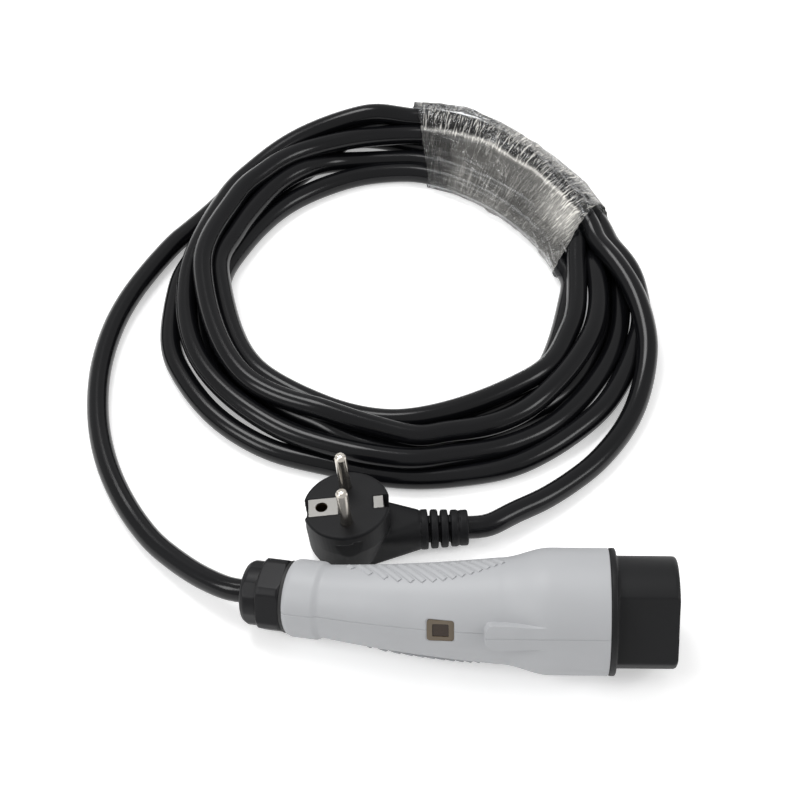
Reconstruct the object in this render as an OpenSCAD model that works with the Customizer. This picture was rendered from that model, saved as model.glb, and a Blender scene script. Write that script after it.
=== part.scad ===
// Golf cart charging connector on a mains cable with an earthed two-pin plug.
// The connector lies on its side on the table, z = 0, on its flange and its rear collar.
// +X runs along the nose. Cable, coil and mains plug lie beside it.

/* [Nose] */
// Outside diameter of the D-shaped nose
nose_d = 43.4; // [41:0.2:45]
// Distance from the nose axis to its flat
nose_flat = 16.6; // [15.8:0.1:18]
// Reach of the nose in front of the flange
nose_len = 23.6; // [20:0.2:30]
// Wall of the nose
nose_wall = 2.6; // [2:0.1:3]
// Rounding of the free rim of the nose
nose_rim_r = 1.2; // [0.5:0.1:1.8]
// Diameter of the flange
flange_d = 49.4; // [48.8:0.1:54]
// Thickness of the flange
flange_t = 2.7; // [2:0.1:4]
// Length of the spigot that the handle grips
spigot_len = 13; // [12.5:0.1:16]

/* [Contacts] */
// Bore of a power contact
power_bore_d = 6; // [5:0.1:6.4]
// Bore of a signal contact
signal_bore_d = 3; // [2:0.1:3.2]
// Wall of a contact sleeve
sleeve_wall = 0.9; // [0.6:0.1:1]
// Wall of the plastic tower round a contact
tower_wall = 1.4; // [1:0.1:1.5]
// How far the towers stay behind the nose rim
tower_recess = 5.4; // [4.8:0.1:7]
// Depth of the mating bore in a contact
contact_depth = 17; // [12:0.5:18]
// Half the distance between line and neutral
power_spread = 8.6; // [8.4:0.1:9]
// Drop of the earth contact below the axis
earth_drop = 11.2; // [11:0.1:11.6]
// Half the distance between the two signal contacts
signal_spread = 6.5; // [6.2:0.1:7]
// Rise of the signal contacts above the axis
signal_rise = 9; // [8.8:0.1:9.4]
// Thickness of the contact block's base
block_t = 8; // [6:0.5:8.5]
// Thickness of the retainer plate
retainer_t = 2; // [1.5:0.1:2.5]

/* [Handle] */
// Radius of the front of the handle
body_r = 24.6; // [24.4:0.1:25.6]
// Length of the straight front
body_len = 22; // [18:0.5:28]
// Length of the flare behind it
flare_len = 20; // [16:0.5:26]
// Radius of the grip behind the flare
grip_r = 20.6; // [20:0.1:22]
// Length of the tapering grip
grip_len = 67.5; // [64:0.5:80]
// Radius of the neck at the rear
neck_r = 14.4; // [14:0.1:15.5]
// Length of the rear collar
collar_len = 14.5; // [12:0.5:18]
// How far the collar stands above the neck
collar_rise = 1; // [0.4:0.1:1.6]
// Wall of the handle shells
shell_wall = 2.5; // [2:0.1:2.6]
// Distance behind the flange where the spine starts to bend
bend_start = 48; // [40:1:60]
// Radius of the bend of the spine
bend_r = 280; // [220:5:600]
// Length of the bent stretch
bend_len = 70; // [50:1:74]
// Reach of the tongue on the left shell's seam
tongue = 0.8; // [0.4:0.1:1.2]

/* [Handle details] */
// Length of the raised lock block behind the front
block_len = 25.5; // [23:0.5:30]
// Width of the raised lock block
block_w = 9.4; // [8:0.2:12]
// Corner radius of the lock block
block_r = 3; // [1:0.2:3.8]
// Distance of the window behind the flange
window_s = 63.3; // [58:0.5:66]
// Length of the window frame
window_l = 10.4; // [9:0.1:12]
// Width of the window frame
window_w = 8.6; // [7.4:0.1:9]
// Length of the lens
lens_l = 6.2; // [5:0.1:7]
// Width of the lens
lens_w = 5.2; // [4.4:0.1:6]
// Thickness of the lens
lens_t = 1.2; // [0.8:0.1:1.6]
// Length of the ribbed grip patch
rib_patch_len = 62; // [50:1:66]
// Width of the grip patch below its straight edge
rib_patch_w = 9; // [6:0.5:10]
// Distance between two ribs
rib_pitch = 4.1; // [3.4:0.1:6]
// Width of a rib
rib_w = 1.4; // [1:0.1:2]
// Height of a rib above the skin
rib_h = 0.5; // [0.3:0.1:0.8]
// Shank diameter of the shell screws
shell_screw_d = 3; // [2.5:0.1:3.5]
// Height of the indicator board over the spine
board_z = 10.6; // [10.2:0.1:11]
// Thickness of the indicator board
board_t = 1.2; // [0.8:0.1:1.6]

/* [Gland] */
// Width of the gland's hexagon across its flats
gland_af = 27.6; // [26:0.1:28.5]
// Diameter to which its corners are turned
gland_corner_d = 30.2; // [29:0.1:30.6]
// Length of the hexagon
gland_hex_len = 9.8; // [8:0.1:12]
// Diameter of the dome nut
gland_nut_d = 25.6; // [24.6:0.1:27]
// Length of the dome nut
gland_nut_len = 8; // [7.4:0.1:10]
// Diameter of the gland's thread
gland_thread_d = 19; // [18:0.1:19.4]
// Bore of the gland body
gland_bore_d = 14.2; // [13.6:0.1:14.6]
// Thickness of the gland's sealing ring
gland_ring_t = 1.2; // [0.8:0.1:2]

/* [Cable] */
// Outside diameter of the cable
cable_d = 9.5; // [8.6:0.1:9.8]
// Diameter of one insulated conductor
core_d = 3; // [2.4:0.1:3.2]
// Inner radius of the coil
coil_in_r = 73; // [70:1:78]
// Outer radius of the coil
coil_out_r = 108; // [105:0.5:110]
// Height of the coil
coil_h = 27; // [24:0.5:32]
// Angle where the film wrap starts
film_from = 23; // [18:1:30]
// Angle where the film wrap ends
film_to = 86; // [75:1:95]
// Lean of the film's first edge
film_lean_from = 31; // [20:1:40]
// Lean of the film's last edge
film_lean_to = 15; // [5:1:25]
// Thickness of the wound film
film_t = 0.6; // [0.4:0.1:1]

/* [Mains plug] */
// Diameter of the plug's face
plug_face_d = 35.4; // [35:0.1:37]
// Height of the face above the table
plug_face_h = 28; // [27:0.5:30]
// Lean of the face to the left
plug_lean = 5.4; // [3:0.2:7]
// Lean of the face to the back
plug_lean_back = 3.6; // [2:0.2:5]
// Diameter of the plug's back
plug_back_d = 27; // [25:0.5:30]
// Diameter of a mains pin
pin_d = 4.8; // [4:0.1:4.8]
// Free length of a mains pin
pin_len = 19; // [18:0.1:19.5]
// Distance between the pin axes
pin_pitch = 19; // [18.5:0.1:19.2]
// Distance of the earth socket from the pins' line
earth_offset = 10; // [9.8:0.1:10.2]
// Bore of the earth socket
earth_bore_d = 4.8; // [4.4:0.1:5]
// Distance from the plug's centre to its strain relief
relief_start = 29; // [27:0.5:34]
// Length of the strain relief
relief_len = 20.6; // [18:0.2:26]
// Diameter of the first ring of the strain relief
relief_d = 16.6; // [15.6:0.2:17]
// Diameter of the last ring
relief_end_d = 14.8; // [14:0.2:15.6]
// Number of rings
relief_rings = 5; // [4:1:6]

/* [Hidden] */
$fn = 64;

// Clearance between pieces that are pushed together
fit_gap = 0.1;
// Cuts run past a face by this much
over = 1;
room = 200;

nose_r = nose_d / 2;
flange_r = flange_d / 2;
cable_r = cable_d / 2;
nose_end = flange_t + nose_len;
roll = 60;

// Spine of the handle, measured backwards from the flange's rear face
shell_len = body_len + flare_len + grip_len + collar_len;
neck_s = body_len + flare_len + grip_len;
function bend_angle(s) = max(0, min(s - bend_start, bend_len)) / bend_r * 180 / PI;
function spine_point(s) =
    let (a = bend_angle(s), past = max(0, s - bend_start - bend_len), front = min(s, bend_start))
    [-front - bend_r * sin(a) - past * cos(a), 0, -bend_r * (1 - cos(a)) - past * sin(a)];
function on_spine(s, p) =
    let (a = bend_angle(s), c = spine_point(s))
    [c[0] + p[0] * cos(a) - p[2] * sin(a), p[1], c[2] + p[0] * sin(a) + p[2] * cos(a)];

// Outer radius of the handle along the spine
function ease(t) = (1 - cos(180 * max(0, min(1, t)))) / 2;
function skin_r(s) =
    s < body_len + flare_len
        ? body_r - (body_r - grip_r) * ease((s - body_len) / flare_len)
        : s < neck_s
            ? grip_r - (grip_r - neck_r) * (s - body_len - flare_len) / grip_len
            : let (t = (s - neck_s) / collar_len)
              neck_r + collar_rise * (t < 0.4 ? ease(t / 0.4) : t < 0.8 ? 1 : 1 - ((t - 0.8) / 0.2) ^ 2);
shell_stations = concat(
    [0, 1, body_len / 2],
    [for (i = [0:7]) body_len + flare_len * i / 7],
    [for (i = [1:9]) body_len + flare_len + grip_len * i / 9],
    [for (t = [0.2, 0.4, 0.6, 0.8, 0.9, 1]) neck_s + collar_len * t]
);

// Resting pitch, at which the front and the rear both touch the table
middle_s = body_len + flare_len;
rear_s = shell_len + gland_ring_t + gland_hex_len;
function tilted_low(s, r, p) =
    let (c = spine_point(s), a = bend_angle(s), nz = -sin(p) * cos(a) - cos(p) * sin(a) * cos(roll))
    c[0] * sin(p) + c[2] * cos(roll) * cos(p) - r * sqrt(1 - nz ^ 2);
function skin_low(p, from, to) =
    min([for (s = shell_stations) if (s >= from && s <= to) tilted_low(s, skin_r(s), p)]);
function front_low(p) = min(-flange_r * cos(p), flange_t * sin(p) - flange_r * cos(p), skin_low(p, 0, middle_s));
function rear_low(p) = min(skin_low(p, middle_s, shell_len), tilted_low(rear_s, gland_corner_d / 2, p));
function settle(lo, hi, n) =
    let (mid = (lo + hi) / 2)
    n == 0 ? mid : rear_low(mid) > front_low(mid) ? settle(mid, hi, n - 1) : settle(lo, mid, n - 1);
pitch = settle(-6, 12, 24);
rest_h = -front_low(pitch);

// Places the connector with its box centred over the origin
gland_end_s = shell_len + gland_ring_t + gland_hex_len + gland_nut_len;
gland_end = on_spine(gland_end_s, [0, 0, 0]);
gland_tip_r = gland_nut_d / 2 - 3;
rear_tilt = acos(cos(bend_angle(shell_len)) * cos(pitch) - sin(bend_angle(shell_len)) * cos(roll) * sin(pitch));
box_front = nose_end * cos(pitch) + (nose_r - nose_rim_r) * sin(pitch);
box_rear = gland_end[0] * cos(pitch) - gland_end[2] * cos(roll) * sin(pitch) - gland_tip_r * sin(rear_tilt);
box_shift_x = -(box_front + box_rear) / 2;
box_shift_y = -0.54;
module connector_pose() {
    translate([box_shift_x, box_shift_y, rest_h]) rotate([0, -pitch, 0]) rotate([roll, 0, 0]) children();
}
function posed(p) =
    let (y = p[1] * cos(roll) - p[2] * sin(roll), z = p[1] * sin(roll) + p[2] * cos(roll))
    [p[0] * cos(pitch) - z * sin(pitch) + box_shift_x, y + box_shift_y,
        p[0] * sin(pitch) + z * cos(pitch) + rest_h];
module at_spine(s) {
    translate(spine_point(s)) rotate([0, -bend_angle(s), 0]) children();
}

// Shapes that repeat
module turned(profile, angle = 360) {
    rotate([0, 90, 0]) rotate_extrude(angle = angle) polygon([for (p = profile) [p[1], p[0]]]);
}
module rod_x(x0, x1, r) {
    turned([[x0, 0], [x0, r], [x1, r], [x1, 0]]);
}
module d_outline(r, flat) {
    intersection() {
        circle(r);
        translate([-r - 1, -r - 1]) square([2 * r + 2, r + 1 + flat]);
    }
}
module d_bar(x0, x1, r, flat) {
    translate([x0, 0, 0]) rotate([90, 0, 90]) linear_extrude(x1 - x0) d_outline(r, flat);
}
module rounded_plate(l, w, r, z0, z1) {
    translate([0, 0, z0]) linear_extrude(z1 - z0) {
        square([l - 2 * r, w], center = true);
        square([l, w - 2 * r], center = true);
        for (x = [-1, 1], y = [-1, 1]) translate([x * (l / 2 - r), y * (w / 2 - r)]) circle(r);
    }
}

// Solid through a list of rings, each with the same number of points; caps are faces of the first ring
module skin(rings, caps = []) {
    n = len(rings[0]);
    m = len(rings);
    ends = len(caps) > 0 ? caps : [[for (i = [0:n - 1]) i]];
    polyhedron(
        points = [for (r = rings) for (p = r) p],
        faces = concat(
            ends,
            [for (k = [0:m - 2]) for (i = [0:n - 1]) [k * n + i, (k + 1) * n + i, k * n + (i + 1) % n]],
            [for (k = [0:m - 2]) for (i = [0:n - 1])
                [k * n + (i + 1) % n, (k + 1) * n + i, (k + 1) * n + (i + 1) % n]],
            [for (f = ends) [for (i = [len(f) - 1:-1:0]) (m - 1) * n + f[i]]]
        )
    );
}

// Smooth route through hand-chosen points, and a round tube along it
function unit(v) = v / norm(v);
function route_point(p, k, t) =
    let (
        a = p[max(0, k - 1)], b = p[k], c = p[k + 1], d = p[min(len(p) - 1, k + 2)],
        t2 = t * t, t3 = t2 * t
    )
    (2 * b + (c - a) * t + (2 * a - 5 * b + 4 * c - d) * t2 + (3 * b - a - 3 * c + d) * t3) / 2;
function route(p, steps) = concat(
    [for (k = [0:len(p) - 2]) for (j = [0:steps - 1]) route_point(p, k, j / steps)],
    [p[len(p) - 1]]
);
function ring_along(q, i, r, sides) =
    let (
        m = len(q) - 1,
        t = unit(q[min(m, i + 1)] - q[max(0, i - 1)]),
        side = unit(cross(t, [0, 0, 1])),
        up = cross(side, t)
    )
    [for (j = [0:sides - 1]) q[i] + r * (sin(360 * j / sides) * side - cos(360 * j / sides) * up)];
module tube(q, r, sides) {
    skin([for (i = [len(q) - 1:-1:0]) ring_along(q, i, r, sides)]);
}

// Contact places, as [y, z] on the nose
line_at = [power_spread, -0.5];
neutral_at = [-power_spread, -0.5];
earth_at = [0, -earth_drop];
pilot_at = [signal_spread, signal_rise];
proximity_at = [-signal_spread, signal_rise];
power_at = [line_at, neutral_at, earth_at];
signal_at = [pilot_at, proximity_at];
tower_end = nose_end - tower_recess;
tower_lip = 1.6;
lip_lead = 0.45;
pocket_step = 0.9;
pocket_front = -2;
block_rear = pocket_front - block_t;
retainer_rear = block_rear - retainer_t;
cavity_r = nose_r - nose_wall;
cavity_flat = nose_flat - nose_wall;
spigot_r = body_r - shell_wall - fit_gap;
contact_collar = 0.8;
power_barrel_r = core_d / 2 + 1.2;
signal_barrel_r = 1.2;
contact_collar_t = 2;
barrel_len = 9;
groove_x = -6.6;
groove_w = 2.8;
groove_depth = 1;
seal_w = 1.5;
seal_x = -0.3;

module nose_shell() {
    color("#1d1e20") connector_pose() difference() {
        union() {
            intersection() {
                d_bar(flange_t / 2, nose_end, nose_r, nose_flat);
                turned([[0, 0], [0, nose_r + over], [nose_end - nose_rim_r, nose_r],
                    [nose_end - nose_rim_r / 3, nose_r - nose_rim_r / 3],
                    [nose_end, nose_r - nose_rim_r], [nose_end, 0]]);
            }
            turned([[0, 0], [0, flange_r - 0.4], [0.4, flange_r], [flange_t - 0.4, flange_r],
                [flange_t, flange_r - 0.4], [flange_t, 0]]);
            turned([
                [0.1, 0], [0.1, spigot_r], [seal_x, spigot_r], [seal_x, spigot_r - 1.1],
                [seal_x - seal_w - fit_gap, spigot_r - 1.1], [seal_x - seal_w - fit_gap, spigot_r],
                [groove_x + groove_w, spigot_r], [groove_x + groove_w, spigot_r - groove_depth],
                [groove_x, spigot_r - groove_depth], [groove_x, spigot_r], [-spigot_len, spigot_r],
                [-spigot_len, 0]
            ]);
        }
        d_bar(pocket_front - over, nose_end + over, cavity_r, cavity_flat);
        d_bar(-spigot_len - over, pocket_front, cavity_r + pocket_step, cavity_flat + pocket_step);
    }
}

module nose_seal() {
    color("#111111") connector_pose() turned([
        [seal_x - fit_gap / 2, spigot_r - 1], [seal_x - fit_gap / 2, spigot_r + fit_gap / 2],
        [seal_x - fit_gap / 2 - seal_w, spigot_r + fit_gap / 2], [seal_x - fit_gap / 2 - seal_w, spigot_r - 1]
    ]);
}

// Rows of bores through the block, the same for both contact sizes
module contact_bores(places, bore_d) {
    sleeve_r = bore_d / 2 + sleeve_wall + fit_gap / 2;
    for (p = places) translate([0, p[0], p[1]]) {
        rod_x(block_rear - over, tower_end - tower_lip, sleeve_r);
        rod_x(block_rear - over, block_rear + contact_collar_t + fit_gap, sleeve_r + contact_collar);
        rod_x(tower_end - tower_lip - over, tower_end + over, bore_d / 2 + lip_lead);
    }
}
function tower_r(bore_d) = bore_d / 2 + sleeve_wall + tower_wall;
retainer_screw_at = [[12.5, 8], [-12.5, 8]];

module contact_block() {
    color("#26272a") connector_pose() difference() {
        union() {
            d_bar(block_rear, pocket_front, cavity_r + pocket_step - fit_gap,
                cavity_flat + pocket_step - fit_gap);
            for (p = power_at) translate([0, p[0], p[1]])
                rod_x(pocket_front - over, tower_end, tower_r(power_bore_d));
            for (p = signal_at) translate([0, p[0], p[1]])
                rod_x(pocket_front - over, tower_end, tower_r(signal_bore_d));
        }
        contact_bores(power_at, power_bore_d);
        contact_bores(signal_at, signal_bore_d);
        for (p = retainer_screw_at) translate([0, p[0], p[1]])
            rod_x(block_rear - over, block_rear + 5.2, 1);
    }
}

module contact_retainer() {
    color("#3a3b3f") connector_pose() difference() {
        d_bar(retainer_rear, block_rear, cavity_r + pocket_step - fit_gap,
            cavity_flat + pocket_step - fit_gap);
        for (p = power_at) translate([0, p[0], p[1]])
            rod_x(retainer_rear - over, block_rear + over, power_barrel_r + fit_gap);
        for (p = signal_at) translate([0, p[0], p[1]])
            rod_x(retainer_rear - over, block_rear + over, signal_barrel_r + fit_gap);
        for (p = retainer_screw_at) translate([0, p[0], p[1]])
            rod_x(retainer_rear - over, block_rear + over, 1 + fit_gap);
    }
}

// A pan-head screw along +X, its head's seat at x = 0
module screw_x(shank_r, length, head_r, head_t) {
    difference() {
        turned([[-head_t, 0], [-head_t, head_r * 0.7], [-head_t * 0.5, head_r], [0, head_r],
            [0, shank_r], [length, shank_r], [length, 0]]);
        for (a = [0, 90]) rotate([a, 0, 0])
            translate([-head_t - over, -head_r * 0.55, -0.3]) cube([head_t * 0.5 + over, head_r * 1.1, 0.6]);
    }
}

module retainer_screws() {
    color("#b9bcc0") connector_pose() for (p = retainer_screw_at)
        translate([retainer_rear, p[0], p[1]]) screw_x(1 - fit_gap / 2, retainer_t + 5, 2, 1.4);
}

// Turned sleeve with a slotted mouth, a collar and a crimp barrel
module contact(place, bore_d, barrel_r) {
    sleeve_r = bore_d / 2 + sleeve_wall;
    front = tower_end - tower_lip - fit_gap;
    connector_pose() translate([0, place[0], place[1]]) difference() {
        turned([
            [retainer_rear - barrel_len, 0], [retainer_rear - barrel_len, barrel_r],
            [block_rear, barrel_r], [block_rear, sleeve_r + contact_collar],
            [block_rear + contact_collar_t, sleeve_r + contact_collar],
            [block_rear + contact_collar_t, sleeve_r], [front, sleeve_r], [front, 0]
        ]);
        rod_x(front - contact_depth, front + over, bore_d / 2);
        rod_x(retainer_rear - barrel_len - over, retainer_rear - barrel_len + 6, barrel_r - 0.6);
        for (a = [45, 135]) rotate([a, 0, 0])
            translate([front - 8, -bore_d, -0.25]) cube([8 + over, bore_d * 2, 0.5]);
    }
}
module contact_line() { color("#c9a24a") contact(line_at, power_bore_d, power_barrel_r); }
module contact_neutral() { color("#c9a24a") contact(neutral_at, power_bore_d, power_barrel_r); }
module contact_earth() { color("#c9a24a") contact(earth_at, power_bore_d, power_barrel_r); }
module contact_pilot() { color("#c9a24a") contact(pilot_at, signal_bore_d, signal_barrel_r); }
module contact_proximity() { color("#c9a24a") contact(proximity_at, signal_bore_d, signal_barrel_r); }

// Section of a handle half in its own plane, as [sideways, up]; the seam is at 0
function half_section(r, edge, grow) =
    let (
        ri = (r - shell_wall) / cos(5),
        t1 = r - shell_wall / 3 + grow,
        t2 = r - shell_wall * 2 / 3 - grow
    )
    concat(
        [for (a = [0:10:180]) [r * sin(a), r * cos(a)]],
        [[0, -t1], [edge, -t1], [edge, -t2], [0, -t2]],
        [for (a = [180:-10:0]) [ri * sin(a), ri * cos(a)]],
        [[0, t2], [edge, t2], [edge, t1], [0, t1]]
    );
// End faces of a half: plain quarters of the wall, and the corners with the tongue or its groove
function half_caps(edge) = concat(
    [for (i = [1:16]) [i, i + 1, 40 - i, 41 - i]],
    edge > 0
        ? [[40, 41, 42], [40, 42, 43], [40, 43, 44], [1, 40, 44], [1, 44, 45], [1, 45, 0],
            [17, 18, 19], [17, 19, 20], [17, 20, 24], [20, 21, 24], [21, 22, 24], [22, 23, 24]]
        : [[40, 41, 42], [40, 42, 45], [1, 40, 45], [1, 45, 0], [42, 43, 44], [42, 44, 45],
            [17, 18, 19], [17, 19, 24], [19, 22, 24], [22, 23, 24], [19, 20, 21], [19, 21, 22]]
);
module half_shell(edge, grow) {
    skin([for (s = shell_stations) [for (p = half_section(skin_r(s), edge, grow))
        on_spine(s, [0, p[0], p[1]])]], half_caps(edge));
}

// Slanting ribs that follow the skin, inside a leaf-shaped patch
rib_mid = body_len + flare_len + rib_patch_len / 2 - 4;
function patch_edge(s) = rib_patch_w * (1 - ((s - rib_mid) / (rib_patch_len / 2)) ^ 2);
function rib_reach(s, w, n) = n == 0 ? w : rib_reach(s, max(-1, (w + patch_edge(s - w)) / 2), n - 1);
function on_skin(s, w, h) =
    let (r = skin_r(s), a = 90 - w / r * 180 / PI)
    on_spine(s, [0, (r + h) * sin(a), (r + h) * cos(a)]);
module grip_ribs() {
    back = -2;
    for (s = [rib_mid - rib_patch_len / 2 + rib_pitch:rib_pitch:rib_mid + rib_patch_len / 2 + rib_pitch / 2]) {
        reach = rib_reach(s, 2, 10);
        if (reach > back + 1)
            skin([for (j = [0:4])
                let (w = back + (reach - back) * j / 4, half = rib_w * (j == 0 || j == 4 ? 0.3 : 0.5))
                [on_skin(s - w - half, w - half, -0.6), on_skin(s - w - half * 0.6, w - half * 0.6, rib_h),
                    on_skin(s - w + half * 0.6, w + half * 0.6, rib_h), on_skin(s - w + half, w + half, -0.6)]]);
    }
}

// Raised lock block behind the straight front, flush with the front's radius
module lock_block() {
    x0 = -body_len - block_len;
    intersection() {
        translate([x0 + block_len / 2, 0, 0])
            rounded_plate(block_len, block_w, block_r, skin_r(body_len + block_len) - shell_wall, body_r + over);
        rod_x(x0 - over, over, body_r);
        translate([x0 - over, 0, 0]) cube([block_len + body_len, block_w, body_r + over]);
    }
}

// Room for the left half's tongue where the right half's block meets the seam
module block_groove() {
    skin([for (s = shell_stations) if (s >= body_len && s < body_len + block_len + 10)
        let (r = skin_r(s), t1 = r - shell_wall / 3 + fit_gap / 2, t2 = r - shell_wall * 2 / 3 - fit_gap / 2)
        [for (p = [[-0.5, t1], [tongue + fit_gap, t1], [tongue + fit_gap, t2], [-0.5, t2]])
            on_spine(s, [0, p[0], p[1]])]]);
}

// Screws join the halves, front and rear pair: [distance, height over the spine, boss length]
shell_screw_at = [[33, 13, 15.2], [33, -13, 15.2], [80, 9, 11.8], [80, -9, 11.8]];
screw_boss_r = shell_screw_d / 2 + 1.3;
function screw_seat(p) = p[2] - 6;
// Cord clamp and cable end, measured forwards from the handle's rear face
clamp_x = 24;
clamp_w = 6;
clamp_h = 9.2;
clamp_screw_z = 7.2;
cable_end_x = 34;
board_l = 16;
board_w = 12;
rear_wall_t = 2.5;

// What the two shells share, built for the left one
module shell_fittings() {
    // Ridge that grips the spigot's groove
    turned([[groove_x + fit_gap, spigot_r + fit_gap + 0.5], [groove_x + fit_gap, spigot_r - groove_depth + fit_gap],
        [groove_x + groove_w - fit_gap, spigot_r - groove_depth + fit_gap],
        [groove_x + groove_w - fit_gap, spigot_r + fit_gap + 0.5]], 180);
    // Rear wall round the gland's thread
    at_spine(shell_len) turned([
        [0, gland_thread_d / 2 + fit_gap], [rear_wall_t, gland_thread_d / 2 + fit_gap],
        [rear_wall_t, neck_r + collar_rise - shell_wall + 0.3], [0, neck_r - shell_wall + 0.6]
    ], 180);
    for (p = shell_screw_at) at_spine(p[0]) translate([0, 0, p[1]]) rotate([-90, 0, 0])
        cylinder(r = screw_boss_r, h = p[2]);
    // Shelves under the indicator board
    at_spine(window_s) for (x = [-board_l / 2 + 1, board_l / 2 - 3])
        translate([x, board_w / 2 - 1.5, board_z - 1.6]) cube([2, 9.8, 1.6]);
    lock_block();
}

module window_cut(grow) {
    at_spine(window_s) {
        r = skin_r(window_s);
        rounded_plate(window_l + 2 * grow, window_w + 2 * grow, 1.2, r - shell_wall - 2, r + 2);
    }
}

module handle_left() {
    color("#b9bcbf") connector_pose() difference() {
        union() {
            half_shell(-tongue, 0);
            shell_fittings();
            grip_ribs();
            // Saddle of the cord clamp
            at_spine(shell_len) difference() {
                translate([clamp_x - clamp_w / 2, 0.3, -clamp_h]) cube([clamp_w, 11.4, 2 * clamp_h]);
                rod_x(0, clamp_x + clamp_w, cable_r + fit_gap / 2);
            }
        }
        window_cut(fit_gap);
        for (p = shell_screw_at) at_spine(p[0]) translate([0, -over, p[1]]) rotate([-90, 0, 0])
            cylinder(d = shell_screw_d, h = 9 + over);
        at_spine(shell_len) for (z = [-1, 1]) translate([clamp_x, 0, z * clamp_screw_z]) rotate([-90, 0, 0])
            cylinder(r = 1.1, h = 6.2);
    }
}

module handle_right() {
    color("#b3b6b9") connector_pose() mirror([0, 1, 0]) difference() {
        union() {
            half_shell(tongue + fit_gap, fit_gap / 2);
            shell_fittings();
            grip_ribs();
        }
        block_groove();
        window_cut(fit_gap);
        for (p = shell_screw_at) at_spine(p[0]) translate([0, 0, p[1]]) rotate([-90, 0, 0]) {
            translate([0, 0, -over]) cylinder(d = shell_screw_d + 2 * fit_gap, h = p[2] + over);
            translate([0, 0, screw_seat(p)]) cylinder(r = screw_boss_r - 0.2, h = 30);
        }
    }
}

module shell_screws() {
    color("#8d9094") connector_pose() for (p = shell_screw_at)
        at_spine(p[0]) translate([0, -screw_seat(p), p[1]]) rotate([0, 0, 90])
            screw_x(shell_screw_d / 2 - fit_gap / 2, screw_seat(p) + 8.5, screw_boss_r - 0.4, 1.8);
}

// Window in the seam, with its lens, board and light
bezel_top = skin_r(window_s) - 0.6;
bezel_ledge = skin_r(window_s) - shell_wall - 1.5;
lens_seat = bezel_top - lens_t - 0.4;
module window_bezel() {
    color("#8a7f72") connector_pose() at_spine(window_s) difference() {
        union() {
            rounded_plate(window_l, window_w, 1.2, bezel_ledge - 1, bezel_top);
            rounded_plate(window_l + 2, window_w + 1.4, 1.2, bezel_ledge - 1, bezel_ledge);
        }
        rounded_plate(lens_l + fit_gap, lens_w + fit_gap, 0.5, lens_seat, bezel_top + over);
        rounded_plate(lens_l - 1.6, lens_w - 1.6, 0.5, bezel_ledge - 1 - over, lens_seat + over);
    }
}
module window_lens() {
    color("#2b1c12") connector_pose() at_spine(window_s)
        rounded_plate(lens_l - fit_gap, lens_w - fit_gap, 0.4, lens_seat, lens_seat + lens_t);
}
module indicator_board() {
    color("#1f6b3a") connector_pose() at_spine(window_s)
        translate([-board_l / 2, -board_w / 2, board_z]) cube([board_l, board_w, board_t]);
}
module indicator_led() {
    color("#e8e2c8") connector_pose() at_spine(window_s) rotate_extrude()
        polygon([[0, board_z + board_t], [1.5, board_z + board_t], [1.5, bezel_ledge - 2.2],
            [1, bezel_ledge - 1.5], [0, bezel_ledge - 1.2]]);
}

// Cable inside the gland and the handle's rear
module cable_end() {
    color("#151517") connector_pose() at_spine(shell_len) rod_x(gland_rear, cable_end_x, cable_r);
}

// Insulated conductors from the cable's end to the crimp barrels
wire_front = retainer_rear - barrel_len;
module wire(place, start, middle) {
    q = route([
        for (x = [0, 2, 4]) on_spine(shell_len, [cable_end_x + x, start[0], start[1]]),
        on_spine(shell_len, [cable_end_x + 10, start[0] * 1.4, start[1] * 1.2 - 1]),
        on_spine(62, [0, middle[0], middle[1]]),
        [wire_front - 14, middle[0], middle[1]],
        for (x = [4, 2, 0]) [wire_front - x, place[0], place[1]]
    ], 2);
    connector_pose() tube(q, core_d / 2, 8);
}
module wire_line() { color("#6b4226") wire(line_at, [2, 1.2], [4.6, 0]); }
module wire_neutral() { color("#2a4f9e") wire(neutral_at, [-2, 1.2], [-4.6, 0]); }
module wire_earth() { color("#7f9a2b") wire(earth_at, [0, -2.2], [0, -5]); }

// Bar that presses the cable on its saddle
module cord_clamp() {
    color("#2a2b2e") connector_pose() at_spine(shell_len) difference() {
        translate([clamp_x - clamp_w / 2, -6.6, -clamp_h]) cube([clamp_w, 6.3, 2 * clamp_h]);
        rod_x(0, clamp_x + clamp_w, cable_r + fit_gap / 2);
        for (z = [-1, 1]) translate([clamp_x, over, z * clamp_screw_z]) rotate([90, 0, 0])
            cylinder(r = 1.3, h = 10);
    }
}
module clamp_screws() {
    color("#b9bcc0") connector_pose() at_spine(shell_len) for (z = [-1, 1])
        translate([clamp_x, -6.6, z * clamp_screw_z]) rotate([0, 0, 90]) screw_x(1, 12.4, 2, 1.4);
}

// Cable gland behind the collar; x runs forwards from the handle's rear face
hex_rear = -gland_ring_t - gland_hex_len;
gland_rear = hex_rear - gland_nut_len;
nut_thread_r = 10.2;
module gland_place() {
    connector_pose() at_spine(shell_len) children();
}
module hex_bar(x0, x1, af, corner_r) {
    intersection() {
        translate([x0, 0, 0]) rotate([90, 0, 90]) linear_extrude(x1 - x0)
            circle(r = af / 2 / cos(30), $fn = 6);
        turned([[x0, 0], [x0, corner_r - 0.7], [x0 + 0.7, corner_r], [x1 - 0.7, corner_r],
            [x1, corner_r - 0.7], [x1, 0]]);
    }
}
module gland_body() {
    color("#1b1b1e") gland_place() difference() {
        union() {
            rod_x(-gland_ring_t - over, rear_wall_t + 6.5, gland_thread_d / 2);
            hex_bar(hex_rear, -gland_ring_t, gland_af, gland_corner_d / 2);
            rod_x(hex_rear - 4.6, hex_rear + over, nut_thread_r - fit_gap);
        }
        rod_x(hex_rear - 5.6, 20, gland_bore_d / 2);
    }
}
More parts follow.
